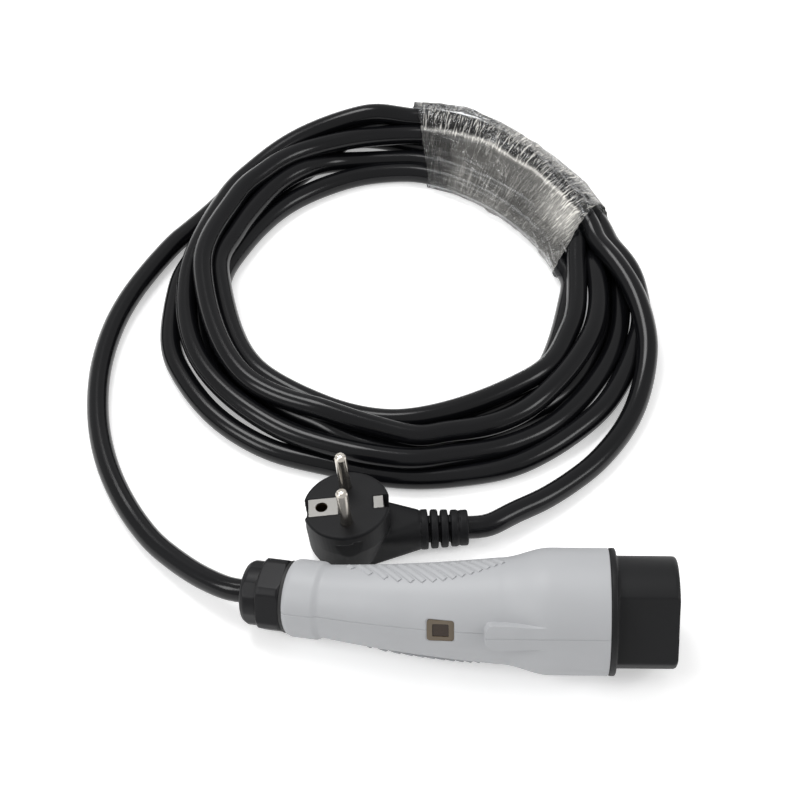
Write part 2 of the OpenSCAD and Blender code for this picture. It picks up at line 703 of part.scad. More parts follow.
module gland_ring() {
    color("#0f0f10") gland_place() turned([
        [-gland_ring_t, gland_thread_d / 2 + fit_gap], [-gland_ring_t, gland_corner_d / 2 - 0.8],
        [0, gland_corner_d / 2 - 0.8], [0, gland_thread_d / 2 + fit_gap]
    ]);
}
module gland_locknut() {
    color("#2a2b2e") gland_place() difference() {
        hex_bar(rear_wall_t, rear_wall_t + 4, 20.6, 11.4);
        rod_x(rear_wall_t - over, rear_wall_t + 5, gland_thread_d / 2 + fit_gap);
    }
}
module gland_nut() {
    r = gland_nut_d / 2;
    color("#1b1b1e") gland_place() difference() {
        turned([[hex_rear, 0], [hex_rear, r - 0.3], [hex_rear - 0.3, r], [gland_rear + 2.6, r],
            [gland_rear + 0.9, r - 0.9], [gland_rear, r - 3], [gland_rear, 0]]);
        rod_x(hex_rear - 4.8, hex_rear + over, nut_thread_r);
        turned([[hex_rear - 4.7, nut_thread_r], [hex_rear - 4.7, 0], [gland_rear + 1, 0],
            [gland_rear + 1, gland_bore_d / 2 - 1.2], [hex_rear - 4.8, gland_bore_d / 2 + 0.2]]);
        rod_x(gland_rear - over, gland_rear + 2, cable_r + fit_gap);
        // Six shallow grip flats
        for (a = [0:60:300]) rotate([a + 30, 0, 0])
            translate([gland_rear + 2.2, -r, r - 0.35]) cube([gland_nut_len, 2 * r, r]);
    }
}
claw_front = hex_rear + 3;
claw_rear = gland_rear + 1.4;
claw_inner_r = gland_bore_d / 2 - 1;
module gland_claw() {
    outer = gland_bore_d / 2 - 1.3 + fit_gap;
    color("#3a3b3f") gland_place() difference() {
        turned([
            [claw_front, gland_bore_d / 2 - fit_gap], [hex_rear - 4.6, gland_bore_d / 2 - fit_gap],
            [claw_rear, outer], [claw_rear, claw_inner_r - 0.6], [hex_rear - 4.2, claw_inner_r],
            [claw_front, claw_inner_r]
        ]);
        for (a = [0:45:135]) rotate([a, 0, 0])
            translate([claw_rear - over, -20, -0.4]) cube([4.2 + over, 40, 0.8]);
    }
}
module gland_seal() {
    color("#202022") gland_place() turned([
        [claw_front, cable_r + fit_gap / 2], [claw_front, claw_inner_r - fit_gap],
        [hex_rear - 3.6, claw_inner_r - fit_gap], [hex_rear - 3.6, cable_r + fit_gap / 2]
    ]);
}

// Mains plug: it stands on its back with the pins up, and its cable leaves to the right
plug_at = [-45, 46];
plug_turn = 5;
relief_z = relief_d / 2 + 0.3;
relief_end = relief_start + relief_len;
module plug_place() {
    translate([plug_at[0], plug_at[1], 0]) rotate([0, 0, plug_turn]) children();
}
module plug_face() {
    plug_place() translate([0, 0, plug_face_h]) rotate([-plug_lean_back, -plug_lean, 0]) children();
}
plug_face_r = plug_face_d / 2;
plate_depth = 0.3;
strip_t = 0.9;
strip_drop = 9.6;
module earth_strip_shape(g) {
    // Left plate with its leg, right hook with its leg, and the bridge between them
    translate([-plug_face_r + 2.4 - g, -4.5 - g, -plate_depth - strip_t - g])
        cube([11.8 + 2 * g, 9 + 2 * g, strip_t + 2 * g]);
    translate([-plug_face_r + 2.4 - g, -4.5 - g, -strip_drop - g])
        cube([strip_t + 2 * g, 9 + 2 * g, strip_drop - plate_depth + 2 * g]);
    translate([plug_face_r - 6.6 - g, -3.1 - g, -plate_depth - strip_t - g])
        cube([3.8 + 2 * g, 6.2 + 2 * g, strip_t + 2 * g]);
    translate([plug_face_r - 2.8 - strip_t - g, -3.1 - g, -strip_drop - g])
        cube([strip_t + 2 * g, 6.2 + 2 * g, strip_drop - plate_depth + 2 * g]);
    translate([-plug_face_r + 2.4 - g, -3.1 - g, -strip_drop - strip_t - g])
        cube([2 * plug_face_r - 5.2 + 2 * g, 6.2 + 2 * g, strip_t + 2 * g]);
}
socket_len = 8;
socket_wall = 0.7;
module plug_body() {
    color("#222326") difference() {
        union() {
            // Crowned body between the leaning face and the flat back
            hull() {
                plug_face() translate([0, 0, -0.8]) cylinder(r1 = plug_face_r, r2 = plug_face_r - 0.5, h = 0.8, $fn = 60);
                plug_face() translate([0, 0, -11]) cylinder(r = plug_face_r - 0.7, h = 1, $fn = 60);
                plug_place() translate([0, 0, 5]) cylinder(r = plug_back_d / 2 + 2, h = 1, $fn = 60);
                plug_place() cylinder(d = plug_back_d, h = 1, $fn = 60);
            }
            // Neck that narrows to the strain relief
            hull() {
                plug_place() translate([2, 0, 0.6]) cylinder(r = plug_back_d / 2 - 0.5, h = 17, $fn = 40);
                plug_place() translate([relief_start - 1, 0, relief_z]) rotate([0, 90, 0])
                    cylinder(d = relief_d, h = 1.5, $fn = 40);
            }
            plug_place() translate([0, 0, relief_z]) strain_relief();
        }
        plug_face() {
            pin_holes();
            translate([-earth_offset, 0, -plate_depth - strip_t - socket_len - 0.6])
                cylinder(d = earth_bore_d + 2 * socket_wall + 2 * fit_gap, h = 20);
            earth_strip_shape(fit_gap);
            // Open window over the plate and notches down both sides
            translate([-plug_face_r - over, -4.6, -strip_drop]) cube([3.5 + over, 9.2, strip_drop + over]);
            translate([-plug_face_r + 2.3, -4.6, -plate_depth - over]) cube([12, 9.2, 2 * over + 1]);
            translate([plug_face_r - 2.9, -3.2, -strip_drop]) cube([3 + over, 6.4, strip_drop + over]);
            translate([plug_face_r - 6.7, -3.2, -plate_depth - over]) cube([4, 6.4, 2 * over + 1]);
            carrier_shape(fit_gap);
            // Two stepped finger recesses in the front of the body
            translate([-9.6, -plug_face_r - 4, -16]) cube([11.2, 5.2, 11]);
            translate([1.6, -plug_face_r - 4, -14.8]) cube([7, 5.2, 11]);
        }
        // The back is cut level with the table
        translate([-room, -room, -room]) cube([2 * room, 2 * room, room]);
    }
}

// Tapering rings on a core, joined by two webs
module strain_relief() {
    pitch = relief_len / relief_rings;
    core = relief_end_d / 2 - 2;
    rod_x(relief_start - over, relief_end - 1, core);
    for (i = [0:relief_rings - 1]) {
        r = relief_d / 2 - (relief_d - relief_end_d) / 2 * i / (relief_rings - 1);
        last = i == relief_rings - 1;
        x = relief_start + pitch * i + (last ? 0.6 : 1.1);
        x1 = relief_start + pitch * (i + 1);
        turned([[x, 0], [x, r - 0.4], [x + 0.4, r], [x1 - 0.4, r], [x1, r - 0.4], [x1, 0]]);
    }
    for (a = [0, 180]) rotate([a, 0, 0]) translate([relief_start, -1.6, 0])
        cube([relief_len - 1, 3.2, relief_end_d / 2 - 0.8]);
}

pin_shank_d = pin_d - 0.8;
pin_shank_len = 14;
module pin_holes() {
    for (y = [-1, 1]) translate([0, y * pin_pitch / 2, -pin_shank_len])
        cylinder(d = pin_shank_d + 2 * fit_gap, h = pin_shank_len + 6);
}
module carrier_shape(g) {
    translate([-5.5 - g, -13 - g, -8 - g]) cube([11 + 2 * g, 26 + 2 * g, 4.4 + 2 * g]);
}
module plug_carrier() {
    color("#4a4b50") plug_face() difference() {
        carrier_shape(0);
        pin_holes();
        earth_strip_shape(fit_gap);
        translate([-earth_offset, 0, -20]) cylinder(d = earth_bore_d + 2 * socket_wall + 2 * fit_gap, h = 40);
    }
}
// A pin stands on its shoulder at the face, with a thinner shank in the carrier
module mains_pin(side) {
    color("#c9c6bd") plug_face() translate([0, side * pin_pitch / 2, 0]) rotate_extrude()
        polygon([[0, -pin_shank_len + 0.2], [pin_shank_d / 2, -pin_shank_len + 0.2], [pin_shank_d / 2, 0],
            [pin_d / 2, 0], [pin_d / 2, pin_len - 1.4], [pin_d / 2 - 0.4, pin_len - 0.6],
            [pin_d / 2 - 1.2, pin_len - 0.1], [0, pin_len]]);
}
module plug_pin_rear() { mains_pin(1); }
module plug_pin_front() { mains_pin(-1); }
module plug_earth_strip() {
    color("#cfcdc4") plug_face() difference() {
        earth_strip_shape(0);
        translate([-earth_offset, 0, -5]) cylinder(d = earth_bore_d + 2 * fit_gap, h = 10);
    }
}
module plug_earth_socket() {
    color("#c9a24a") plug_face() translate([-earth_offset, 0, -plate_depth - strip_t - socket_len]) difference() {
        cylinder(d = earth_bore_d + 2 * socket_wall, h = socket_len);
        translate([0, 0, -over]) cylinder(d = earth_bore_d, h = socket_len + 2 * over);
    }
}

// Cable between gland and coil. Points are chosen by hand, on the table once z is the cable's radius
gland_mouth = posed(on_spine(gland_end_s, [0, 0, 0]));
gland_way = unit(posed(on_spine(gland_end_s + 10, [0, 0, 0])) - gland_mouth);
handle_lead_points = [
    [-103, 22, 9.5], [-115, 32, 7], [-126, 43, 5.5], [-138, 60, 4.8], [-147.5, 78.5, 4.8],
    [-154, 98, 4.8], [-157.5, 118, 4.8], [-158.3, 138, 4.8], [-156, 159, 4.8], [-151, 177.5, 4.8],
    [-143.5, 195.1, 4.8], [-133.8, 213.2, 4.8]
];
module lead_to_handle() {
    color("#17171a") handle_lead(cable_r);
}
module handle_lead(r) {
    start = [for (x = [0, 4, 8]) gland_mouth + x * gland_way];
    tube(route(concat(start, handle_lead_points), 2), r, 10);
}

// Cable between coil and mains plug
plug_lead_points = [
    [66.5, 212, 21.5], [73, 199.5, 19.5], [78.5, 184.5, 17], [81.5, 171, 14.5], [82.7, 157, 11.5],
    [82.2, 144.5, 9], [80, 132, 7.3], [76, 118.5, 6], [69, 104, 5.2], [59, 89.5, 4.8], [48, 78, 5.2], [36, 67.5, 6.4], [24, 59.5, 7.6]
];
relief_mouth = [plug_at[0] + relief_end * cos(plug_turn), plug_at[1] + relief_end * sin(plug_turn), relief_z];
relief_way = [cos(plug_turn), sin(plug_turn), 0];
module lead_to_plug() {
    color("#17171a") plug_lead(cable_r);
}
module plug_lead(r) {
    last = [for (x = [8, 4, 0]) relief_mouth + x * relief_way];
    tube(route(concat(plug_lead_points, last), 2), r, 10);
}

// Coil: one closed solid of its outer shape, with a groove for each lead.
// By angle: step of the inner and the outer radius, height of the outer shoulder, place of the crest
// across the coil, its height and the height of the inner shoulder, heights as shares of coil_h
seat_gap = 1;
coil_at = [-27.5, 185, 0];
coil_step = 5;
coil_shape = [
    [-180, 2.5, -3, 0.46, 0.49, 0.84, 0.64], [-165, 0.5, 2.5, 0.38, 0.43, 0.81, 0.62],
    [-150, 1.5, 5, 0.38, 0.46, 0.79, 0.62], [-120, 2, 4, 0.4, 0.49, 0.8, 0.62],
    [-105, 2, 1.5, 0.42, 0.49, 0.79, 0.62], [-90, 2.5, 3.5, 0.42, 0.49, 0.73, 0.62],
    [-60, 2, 7.5, 0.36, 0.34, 0.67, 0.62], [-30, 0.5, 5.5, 0.36, 0.31, 0.68, 0.62],
    [-15, -1.5, 4, 0.3, 0.31, 0.68, 0.5], [0, -1, 4, 0.3, 0.36, 0.68, 0.52],
    [12, -2, 2, 0.36, 0.42, 0.72, 0.46], [18, -2.5, 1.5, 0.58, 0.62, 0.97, 0.43], [30, -4, 0.5, 0.65, 0.57, 0.98, 0.38],
    [45, -5, 2.5, 0.64, 0.6, 0.95, 0.36], [60, -4, 5, 0.6, 0.77, 0.92, 0.34],
    [75, -2, 9, 0.5, 0.89, 0.97, 0.34], [90, -0.5, 13.5, 0.48, 0.93, 0.9, 0.34],
    [105, 0, 13.5, 0.36, 0.89, 0.82, 0.34], [120, 0, 11.5, 0.36, 0.77, 0.85, 0.34],
    [135, 0, 5, 0.4, 0.57, 0.88, 0.34], [150, 0, 1.5, 0.4, 0.51, 0.88, 0.42],
    [165, 2, -1, 0.36, 0.5, 0.88, 0.58], [180, 2.5, -3, 0.46, 0.49, 0.84, 0.64]
];
function shape_at(a, k) = lookup(a, [for (s = coil_shape) [s[0], s[k]]]);
function bundle(a, g) =
    let (
        inner = coil_in_r + shape_at(a, 1) + g,
        outer = coil_out_r + shape_at(a, 2) - g,
        crest = coil_in_r + shape_at(a, 4) * (coil_out_r - coil_in_r),
        top = shape_at(a, 5) * coil_h - g,
        rim = shape_at(a, 3) * coil_h - g,
        lip = shape_at(a, 6) * coil_h - g
    )
    [[inner, 4.5], [inner + 3, g], [outer - 3, g], [outer, 4.5], [outer - 4, rim], [crest + 6, top - 2.5],
        [crest - 1, top], [max(crest - 7, inner + 5), top - 2], [inner + 3, min(lip, top - 3)],
        [inner, min(lip, top - 3) - 3.5]];
module bundle_part(from, to, g) {
    skin([for (a = [to:-coil_step:from - 0.1]) [for (p = bundle(a, g))
        coil_at + [p[0] * cos(a), p[0] * sin(a), p[1]]]]);
}
// The film covers the coil between two edges, each leaning from the radius
module film_area() {
    middle = (coil_in_r + coil_out_r) / 2 + 5;
    edge = function (a, lean, way) [coil_at[0] + middle * cos(a) + way * cos(a + lean),
        coil_at[1] + middle * sin(a) + way * sin(a + lean)];
    half = (film_from + film_to) / 2;
    translate([0, 0, -1]) linear_extrude(coil_h + 5) polygon([
        edge(film_to, film_lean_to, -42), edge(film_to, film_lean_to, 50), edge(half, 0, 70),
        edge(film_from, film_lean_from, 50), edge(film_from, film_lean_from, -42)
    ]);
}
module coil_ring(g) {
    bundle_part(-180, 0, g);
    bundle_part(0, 180, g);
}
module cable_coil() {
    color("#17171a") difference() {
        union() {
            difference() {
                coil_ring(0);
                film_area();
            }
            bundle_part(-15, 110, film_t);
        }
        handle_lead(cable_r + seat_gap);
        plug_lead(cable_r + seat_gap);
    }
}
module coil_film() {
    color("#d8d8d2", 0.4) intersection() {
        difference() {
            bundle_part(-15, 110, 0);
            bundle_part(-20, 115, film_t);
        }
        film_area();
    }
}

handle_left();
handle_right();
nose_shell();
contact_block();
contact_retainer();
retainer_screws();
nose_seal();
contact_line();
contact_neutral();
contact_earth();
contact_pilot();
contact_proximity();
window_bezel();
window_lens();
indicator_board();
indicator_led();
wire_line();
wire_neutral();
wire_earth();
cord_clamp();
clamp_screws();
shell_screws();
gland_body();
gland_ring();
gland_locknut();
gland_claw();
gland_seal();
gland_nut();
cable_end();
plug_body();
plug_carrier();
plug_pin_rear();
plug_pin_front();
plug_earth_strip();
plug_earth_socket();
lead_to_handle();
cable_coil();
lead_to_plug();
coil_film();
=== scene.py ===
"""Grey-handled charging connector, its coiled cable and its earthed mains plug, on a white table."""
import math

import bmesh
import bpy
import numpy as np
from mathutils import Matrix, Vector


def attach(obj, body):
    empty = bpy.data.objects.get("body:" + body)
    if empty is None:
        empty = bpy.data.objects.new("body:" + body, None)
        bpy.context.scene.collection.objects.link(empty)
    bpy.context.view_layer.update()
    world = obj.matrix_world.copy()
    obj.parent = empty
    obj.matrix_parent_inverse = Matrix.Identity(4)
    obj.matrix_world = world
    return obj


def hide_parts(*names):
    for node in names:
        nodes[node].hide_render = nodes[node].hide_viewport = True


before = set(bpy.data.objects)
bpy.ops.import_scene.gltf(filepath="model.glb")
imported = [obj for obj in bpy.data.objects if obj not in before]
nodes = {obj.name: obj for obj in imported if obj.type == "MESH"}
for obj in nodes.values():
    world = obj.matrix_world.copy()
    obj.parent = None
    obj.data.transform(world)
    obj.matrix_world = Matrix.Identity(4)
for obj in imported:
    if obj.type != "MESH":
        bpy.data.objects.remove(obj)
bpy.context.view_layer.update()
MM = 0.001
scene = bpy.context.scene
rng = np.random.default_rng(7)

# Sizes of the connector, in millimetres
ROLL = math.radians(60)
PITCH = math.radians(1.64694)
REST = np.array([58.4584, -0.54, 25.2221])
BODY_R, GRIP_R, NECK_R, COLLAR_RISE = 24.6, 20.6, 14.4, 1.0
BODY_LEN, FLARE_LEN, GRIP_LEN, COLLAR_LEN = 22.0, 20.0, 67.5, 14.5
NECK_S = BODY_LEN + FLARE_LEN + GRIP_LEN
SHELL_LEN = NECK_S + COLLAR_LEN
BEND_START, BEND_R, BEND_LEN = 48.0, 280.0, 70.0
WALL = 2.5
CABLE_R = 4.75


def spine(s):
    """Centre and turn of the handle at a distance behind the flange."""
    s = np.asarray(s, float)
    turn = np.clip(s - BEND_START, 0, BEND_LEN) / BEND_R
    past = np.maximum(0, s - BEND_START - BEND_LEN)
    front = np.minimum(s, BEND_START)
    x = -front - BEND_R * np.sin(turn) - past * np.cos(turn)
    z = -BEND_R * (1 - np.cos(turn)) - past * np.sin(turn)
    return x, z, turn


def on_spine(s, across, up, ahead=0.0):
    """Point beside the spine, in the connector's own frame."""
    x, z, turn = spine(s)
    return np.stack(np.broadcast_arrays(
        x + ahead * np.cos(turn) - up * np.sin(turn), across, z + ahead * np.sin(turn) + up * np.cos(turn)), -1)


def posed(p):
    """The connector's own frame, in millimetres, to the row frame in metres."""
    p = np.asarray(p, float)
    y = p[..., 1] * math.cos(ROLL) - p[..., 2] * math.sin(ROLL)
    z = p[..., 1] * math.sin(ROLL) + p[..., 2] * math.cos(ROLL)
    x = p[..., 0] * math.cos(PITCH) - z * math.sin(PITCH)
    z = p[..., 0] * math.sin(PITCH) + z * math.cos(PITCH)
    return (np.stack([x, y, z], -1) + REST) * MM


# Materials ---------------------------------------------------------------

def node(tree, kind, **values):
    """A new node with its settings, and with the inputs named in_ and their name."""
    made = tree.nodes.new(kind)
    for key, value in values.items():
        if key.startswith("in_"):
            made.inputs[key[3:].replace("_", " ")].default_value = value
        else:
            setattr(made, key, value)
    return made


def finish_material(name, color, rough, metallic=0.0, coat=0.0, specular=0.5):
    """A principled material with its plain values set, and its tree."""
    material = bpy.data.materials.new(name)
    material.use_nodes = True
    tree = material.node_tree
    shader = tree.nodes["Principled BSDF"]
    shader.inputs["Base Color"].default_value = (*color, 1)
    shader.inputs["Roughness"].default_value = rough
    shader.inputs["Metallic"].default_value = metallic
    shader.inputs["Coat Weight"].default_value = coat
    shader.inputs["Coat Roughness"].default_value = 0.12
    shader.inputs["Specular IOR Level"].default_value = specular
    material.diffuse_color = (*color, 1)
    return material, tree, shader


def grain(tree, shader, scale, depth, color=None, spread=0.06, rough=None):
    """Fine texture of a moulded or drawn surface: a bump, and a little change of shade and gloss."""
    place = node(tree, "ShaderNodeTexCoord")
    fine = node(tree, "ShaderNodeTexNoise", in_Scale=scale, in_Detail=3.0)
    broad = node(tree, "ShaderNodeTexNoise", in_Scale=scale / 40, in_Detail=2.0)
    bump = node(tree, "ShaderNodeBump", in_Strength=0.5, in_Distance=depth)
    tree.links.new(place.outputs["Object"], fine.inputs["Vector"])
    tree.links.new(place.outputs["Object"], broad.inputs["Vector"])
    tree.links.new(fine.outputs["Fac"], bump.inputs["Height"])
    tree.links.new(bump.outputs["Normal"], shader.inputs["Normal"])
    if color:
        ramp = node(tree, "ShaderNodeValToRGB")
        ramp.color_ramp.elements[0].position = 0.35
        ramp.color_ramp.elements[1].position = 0.65
        ramp.color_ramp.elements[0].color = (*[c * (1 - spread) for c in color], 1)
        ramp.color_ramp.elements[1].color = (*[min(1, c * (1 + spread)) for c in color], 1)
        tree.links.new(broad.outputs["Fac"], ramp.inputs["Fac"])
        tree.links.new(ramp.outputs["Color"], shader.inputs["Base Color"])
    if rough:
        spreader = node(tree, "ShaderNodeMapRange", in_To_Min=rough[0], in_To_Max=rough[1])
        tree.links.new(broad.outputs["Fac"], spreader.inputs["Value"])
        tree.links.new(spreader.outputs["Result"], shader.inputs["Roughness"])


def moulded(name, color, rough, scale=2200, spread=0.04, specular=0.5):
    """A moulded plastic or rubber."""
    material, tree, shader = finish_material(name, color, rough, specular=specular)
    grain(tree, shader, scale, 0.00002, color, spread, (rough - 0.04, rough + 0.05))
    return material


GREY = (0.40, 0.407, 0.42)
grey_shell = moulded("grey_shell_plastic", GREY, 0.48, spread=0.015)
nose_black = moulded("black_nose_plastic", (0.0085, 0.0087, 0.0095), 0.5, specular=0.2)
insert_black = moulded("contact_block_plastic", (0.02, 0.02, 0.022), 0.5)
dark_grey = moulded("inner_plastic", (0.05, 0.05, 0.055), 0.5)
gland_black = moulded("gland_plastic", (0.0065, 0.0065, 0.0075), 0.4, specular=0.22)
plug_black = moulded("plug_plastic", (0.0075, 0.0076, 0.0085), 0.5, scale=1600, specular=0.16)
seal_rubber = moulded("seal_rubber_black", (0.012, 0.012, 0.012), 0.6)
board_green = moulded("board_laminate", (0.02, 0.12, 0.05), 0.45)
wire_brown = moulded("wire_brown_jacket", (0.12, 0.045, 0.018), 0.4)
wire_blue = moulded("wire_blue_jacket", (0.015, 0.06, 0.26), 0.4)
wire_green = moulded("wire_green_jacket", (0.16, 0.3, 0.02), 0.4)


def metal(name, color, rough):
    """A drawn or plated metal."""
    material, tree, shader = finish_material(name, color, rough, metallic=1.0)
    grain(tree, shader, 900, 0.000008, color, 0.05, (rough * 0.8, rough * 1.25))
    return material


nickel = metal("nickel_pin", (0.66, 0.62, 0.56), 0.22)
plate_nickel = metal("nickel_plate", (0.24, 0.235, 0.225), 0.38)
socket_brass = metal("earth_socket_brass", (0.10, 0.075, 0.04), 0.4)
brass = metal("contact_brass_plated", (0.82, 0.66, 0.36), 0.25)
steel = metal("screw_steel_zinc", (0.6, 0.6, 0.62), 0.3)

# Cable jacket: smooth glossy black
jacket, tree, shader = finish_material("cable_jacket_gloss", (0.0035, 0.0036, 0.0044), 0.2, specular=0.27)
grain(tree, shader, 700, 0.00002, (0.0035, 0.0036, 0.0044), 0.12, (0.15, 0.23))

bezel_tan, tree, shader = finish_material("bezel_smoked", (0.17, 0.13, 0.085), 0.25, coat=0.5)
shader.inputs["Transmission Weight"].default_value = 0.25
grain(tree, shader, 900, 0.00001, (0.17, 0.13, 0.085), 0.08)
lens_brown, tree, shader = finish_material("lens_brown", (0.03, 0.016, 0.008), 0.1, coat=0.5)
grain(tree, shader, 700, 0.000005, (0.03, 0.016, 0.008), 0.15)
led_milky, tree, shader = finish_material("led_milky", (0.8, 0.78, 0.66), 0.3)
grain(tree, shader, 900, 0.000005, (0.8, 0.78, 0.66), 0.03)


def film_material():
    """Clear stretch film: see-through with sharp gloss, and a milky veil that streaks along its folds. The veil
    also paints a highlight line along the film's ridge.
    """
    material = bpy.data.materials.new("clear_film")
    material.use_nodes = True
    tree = material.node_tree
    tree.nodes.clear()
    lay = node(tree, "ShaderNodeAttribute", attribute_name="lay")
    milk_and_highlight = node(tree, "ShaderNodeAttribute", attribute_name="milk_and_highlight")
    scratch_and_highlight = node(tree, "ShaderNodeAttribute", attribute_name="scratch_and_highlight")
    place = node(tree, "ShaderNodeTexCoord")
    stretch = node(tree, "ShaderNodeMapping")
    stretch.inputs["Scale"].default_value = (1.0, 0.035, 1.0)
    streaks = node(tree, "ShaderNodeTexNoise", in_Scale=1300.0, in_Detail=3.0, in_Distortion=0.9)
    broad = node(tree, "ShaderNodeTexNoise", in_Scale=70.0, in_Detail=3.0)
    crumple = node(tree, "ShaderNodeTexNoise", in_Scale=260.0, in_Detail=4.0, in_Distortion=1.0)
    heights = node(tree, "ShaderNodeMath", operation="ADD")
    bump = node(tree, "ShaderNodeBump", in_Strength=0.8, in_Distance=0.0003)
    spread = node(tree, "ShaderNodeMapRange", in_From_Min=0.55, in_From_Max=0.64)
    patchy = node(tree, "ShaderNodeMapRange", in_From_Min=0.35, in_From_Max=0.65, in_To_Min=0.7, in_To_Max=1.25)
    # The veil's mask holds the film's milkiness and also a painted highlight line along its ridge, both shown by
    # the diffuse veil
    milk_and_highlight_share = node(tree, "ShaderNodeMath", operation="MULTIPLY")
    scratch_and_highlight_share = node(tree, "ShaderNodeMath", operation="MULTIPLY")
    veil_and_highlight_mask = node(tree, "ShaderNodeMath", operation="ADD", use_clamp=True)
    gloss = node(tree, "ShaderNodeBsdfGlossy", in_Roughness=0.1, in_Color=(1, 1, 1, 1))
    clear = node(tree, "ShaderNodeBsdfTransparent", in_Color=(0.96, 0.965, 0.97, 1))
    veil_and_highlight_diffuse = node(tree, "ShaderNodeBsdfDiffuse", in_Color=(0.82, 0.8, 0.75, 1))
    first = node(tree, "ShaderNodeMixShader")
    second = node(tree, "ShaderNodeMixShader")
    edge = node(tree, "ShaderNodeFresnel", in_IOR=1.2)
    out = node(tree, "ShaderNodeOutputMaterial")
    link = tree.links.new
    link(lay.outputs["Vector"], stretch.inputs["Vector"])
    link(stretch.outputs["Vector"], streaks.inputs["Vector"])
    link(place.outputs["Object"], broad.inputs["Vector"])
    link(place.outputs["Object"], crumple.inputs["Vector"])
    link(streaks.outputs["Fac"], heights.inputs[0])
    link(crumple.outputs["Fac"], heights.inputs[1])
    link(heights.outputs["Value"], bump.inputs["Height"])
    link(bump.outputs["Normal"], gloss.inputs["Normal"])
    link(bump.outputs["Normal"], edge.inputs["Normal"])
    link(streaks.outputs["Fac"], spread.inputs["Value"])
    link(broad.outputs["Fac"], patchy.inputs["Value"])
    link(milk_and_highlight.outputs["Fac"], milk_and_highlight_share.inputs[0])
    link(patchy.outputs["Result"], milk_and_highlight_share.inputs[1])
    link(scratch_and_highlight.outputs["Fac"], scratch_and_highlight_share.inputs[0])
    link(spread.outputs["Result"], scratch_and_highlight_share.inputs[1])
    link(milk_and_highlight_share.outputs["Value"], veil_and_highlight_mask.inputs[0])
    link(scratch_and_highlight_share.outputs["Value"], veil_and_highlight_mask.inputs[1])
    link(veil_and_highlight_mask.outputs["Value"], first.inputs["Fac"])
    link(clear.outputs["BSDF"], first.inputs[1])
    link(veil_and_highlight_diffuse.outputs["BSDF"], first.inputs[2])
    link(edge.outputs["Fac"], second.inputs["Fac"])
    link(first.outputs["Shader"], second.inputs[1])
    link(gloss.outputs["BSDF"], second.inputs[2])
    link(second.outputs["Shader"], out.inputs["Surface"])
    return material


film_clear = film_material()

NODE_FINISH = {
    nose_black: ["nose_shell"],
    insert_black: ["contact_block"],
    dark_grey: ["contact_retainer", "cord_clamp", "gland_locknut", "gland_claw", "plug_carrier"],
    gland_black: ["gland_body", "gland_nut"],
    seal_rubber: ["nose_seal", "gland_ring", "gland_seal"],
    brass: ["contact_line", "contact_neutral", "contact_earth", "contact_pilot", "contact_proximity"],
    socket_brass: ["plug_earth_socket"], plate_nickel: ["plug_earth_strip"],
    nickel: ["plug_pin_rear", "plug_pin_front"],
    steel: ["retainer_screws", "clamp_screws", "shell_screws"],
    bezel_tan: ["window_bezel"], lens_brown: ["window_lens"], board_green: ["indicator_board"],
    led_milky: ["indicator_led"], wire_brown: ["wire_line"], wire_blue: ["wire_neutral"],
    wire_green: ["wire_earth"], jacket: ["cable_end"], plug_black: ["plug_body"],
}
for material, names in NODE_FINISH.items():
    for name in names:
        mesh = nodes[name].data
        mesh.materials.clear()
        mesh.materials.append(material)


# Meshes ------------------------------------------------------------------

def piece_from(name, verts, faces, material, smooth=True):
    """A mesh in the scene from points in metres and faces."""
    mesh = bpy.data.meshes.new(name)
    mesh.from_pydata([tuple(v) for v in verts], [], [tuple(f) for f in faces])
    mesh.validate()
    mesh.materials.append(material)
    if smooth:
        mesh.shade_smooth()
    made = bpy.data.objects.new(name, mesh)
    scene.collection.objects.link(made)
    return made


def grid_faces(rows, cols, start=0, closed=False, flip=False):
    """Quads between rows of points; a closed grid joins each row's last point to its first."""
    faces = []
    for i in range(rows - 1):
        for j in range(cols if closed else cols - 1):
            k = (j + 1) % cols
            near, far = start + i * cols, start + (i + 1) * cols
            quad = (near + j, near + k, far + k, far + j)
            faces.append(quad[::-1] if flip else quad)
    return faces


def sharpen(made, angle):
    """Flat shading kept across edges sharper than an angle."""
    mesh = made.data
    mesh.shade_smooth()
    mesh.set_sharp_from_angle(angle=math.radians(angle))


def step(x, low, high):
    """Smooth step from 0 to 1."""
    t = np.clip((np.asarray(x, float) - low) / (high - low), 0, 1)
    return t * t * (3 - 2 * t)


def ease(t):
    """Half a cosine wave from 0 to 1."""
    return (1 - np.cos(np.pi * np.clip(t, 0, 1))) / 2


def skin_r(s):
    """Radius of the handle along its spine."""
    s = np.asarray(s, float)
    flare = BODY_R - (BODY_R - GRIP_R) * ease((s - BODY_LEN) / FLARE_LEN)
    taper = GRIP_R - (GRIP_R - NECK_R) * (s - BODY_LEN - FLARE_LEN) / GRIP_LEN
    t = (s - NECK_S) / COLLAR_LEN
    bead = np.where(t < 0.2, ease(t / 0.2), np.where(t < 0.8, 1, 1 - (np.maximum(0, t - 0.8) / 0.2) ** 2))
    return np.where(s < BODY_LEN + FLARE_LEN, flare, np.where(s < NECK_S, taper, NECK_R + COLLAR_RISE * bead))


def rounded_box(x, y, half_l, half_w, r):
    """Signed distance inside a rounded rectangle."""
    dx, dy = np.abs(x) - half_l + r, np.abs(y) - half_w + r
    out = np.hypot(np.maximum(dx, 0), np.maximum(dy, 0)) + np.minimum(np.maximum(dx, dy), 0) - r
    return -out


# Handle halves -----------------------------------------------------------
BLOCK_LEN, BLOCK_W, BLOCK_R = 25.5, 9.4, 3.0
WINDOW_S, WINDOW_L, WINDOW_W = 63.3, 10.4, 8.6
PATCH_LEN, PATCH_W, RIB_PITCH, RIB_W, RIB_H = 62.0, 9.0, 4.1, 2.4, 0.52
PATCH_MID = BODY_LEN + FLARE_LEN + PATCH_LEN / 2 - 4


def patch_edge(s):
    """Half width of the leaf-shaped rib patch."""
    return PATCH_W * (1 - ((s - PATCH_MID) / (PATCH_LEN / 2)) ** 2)


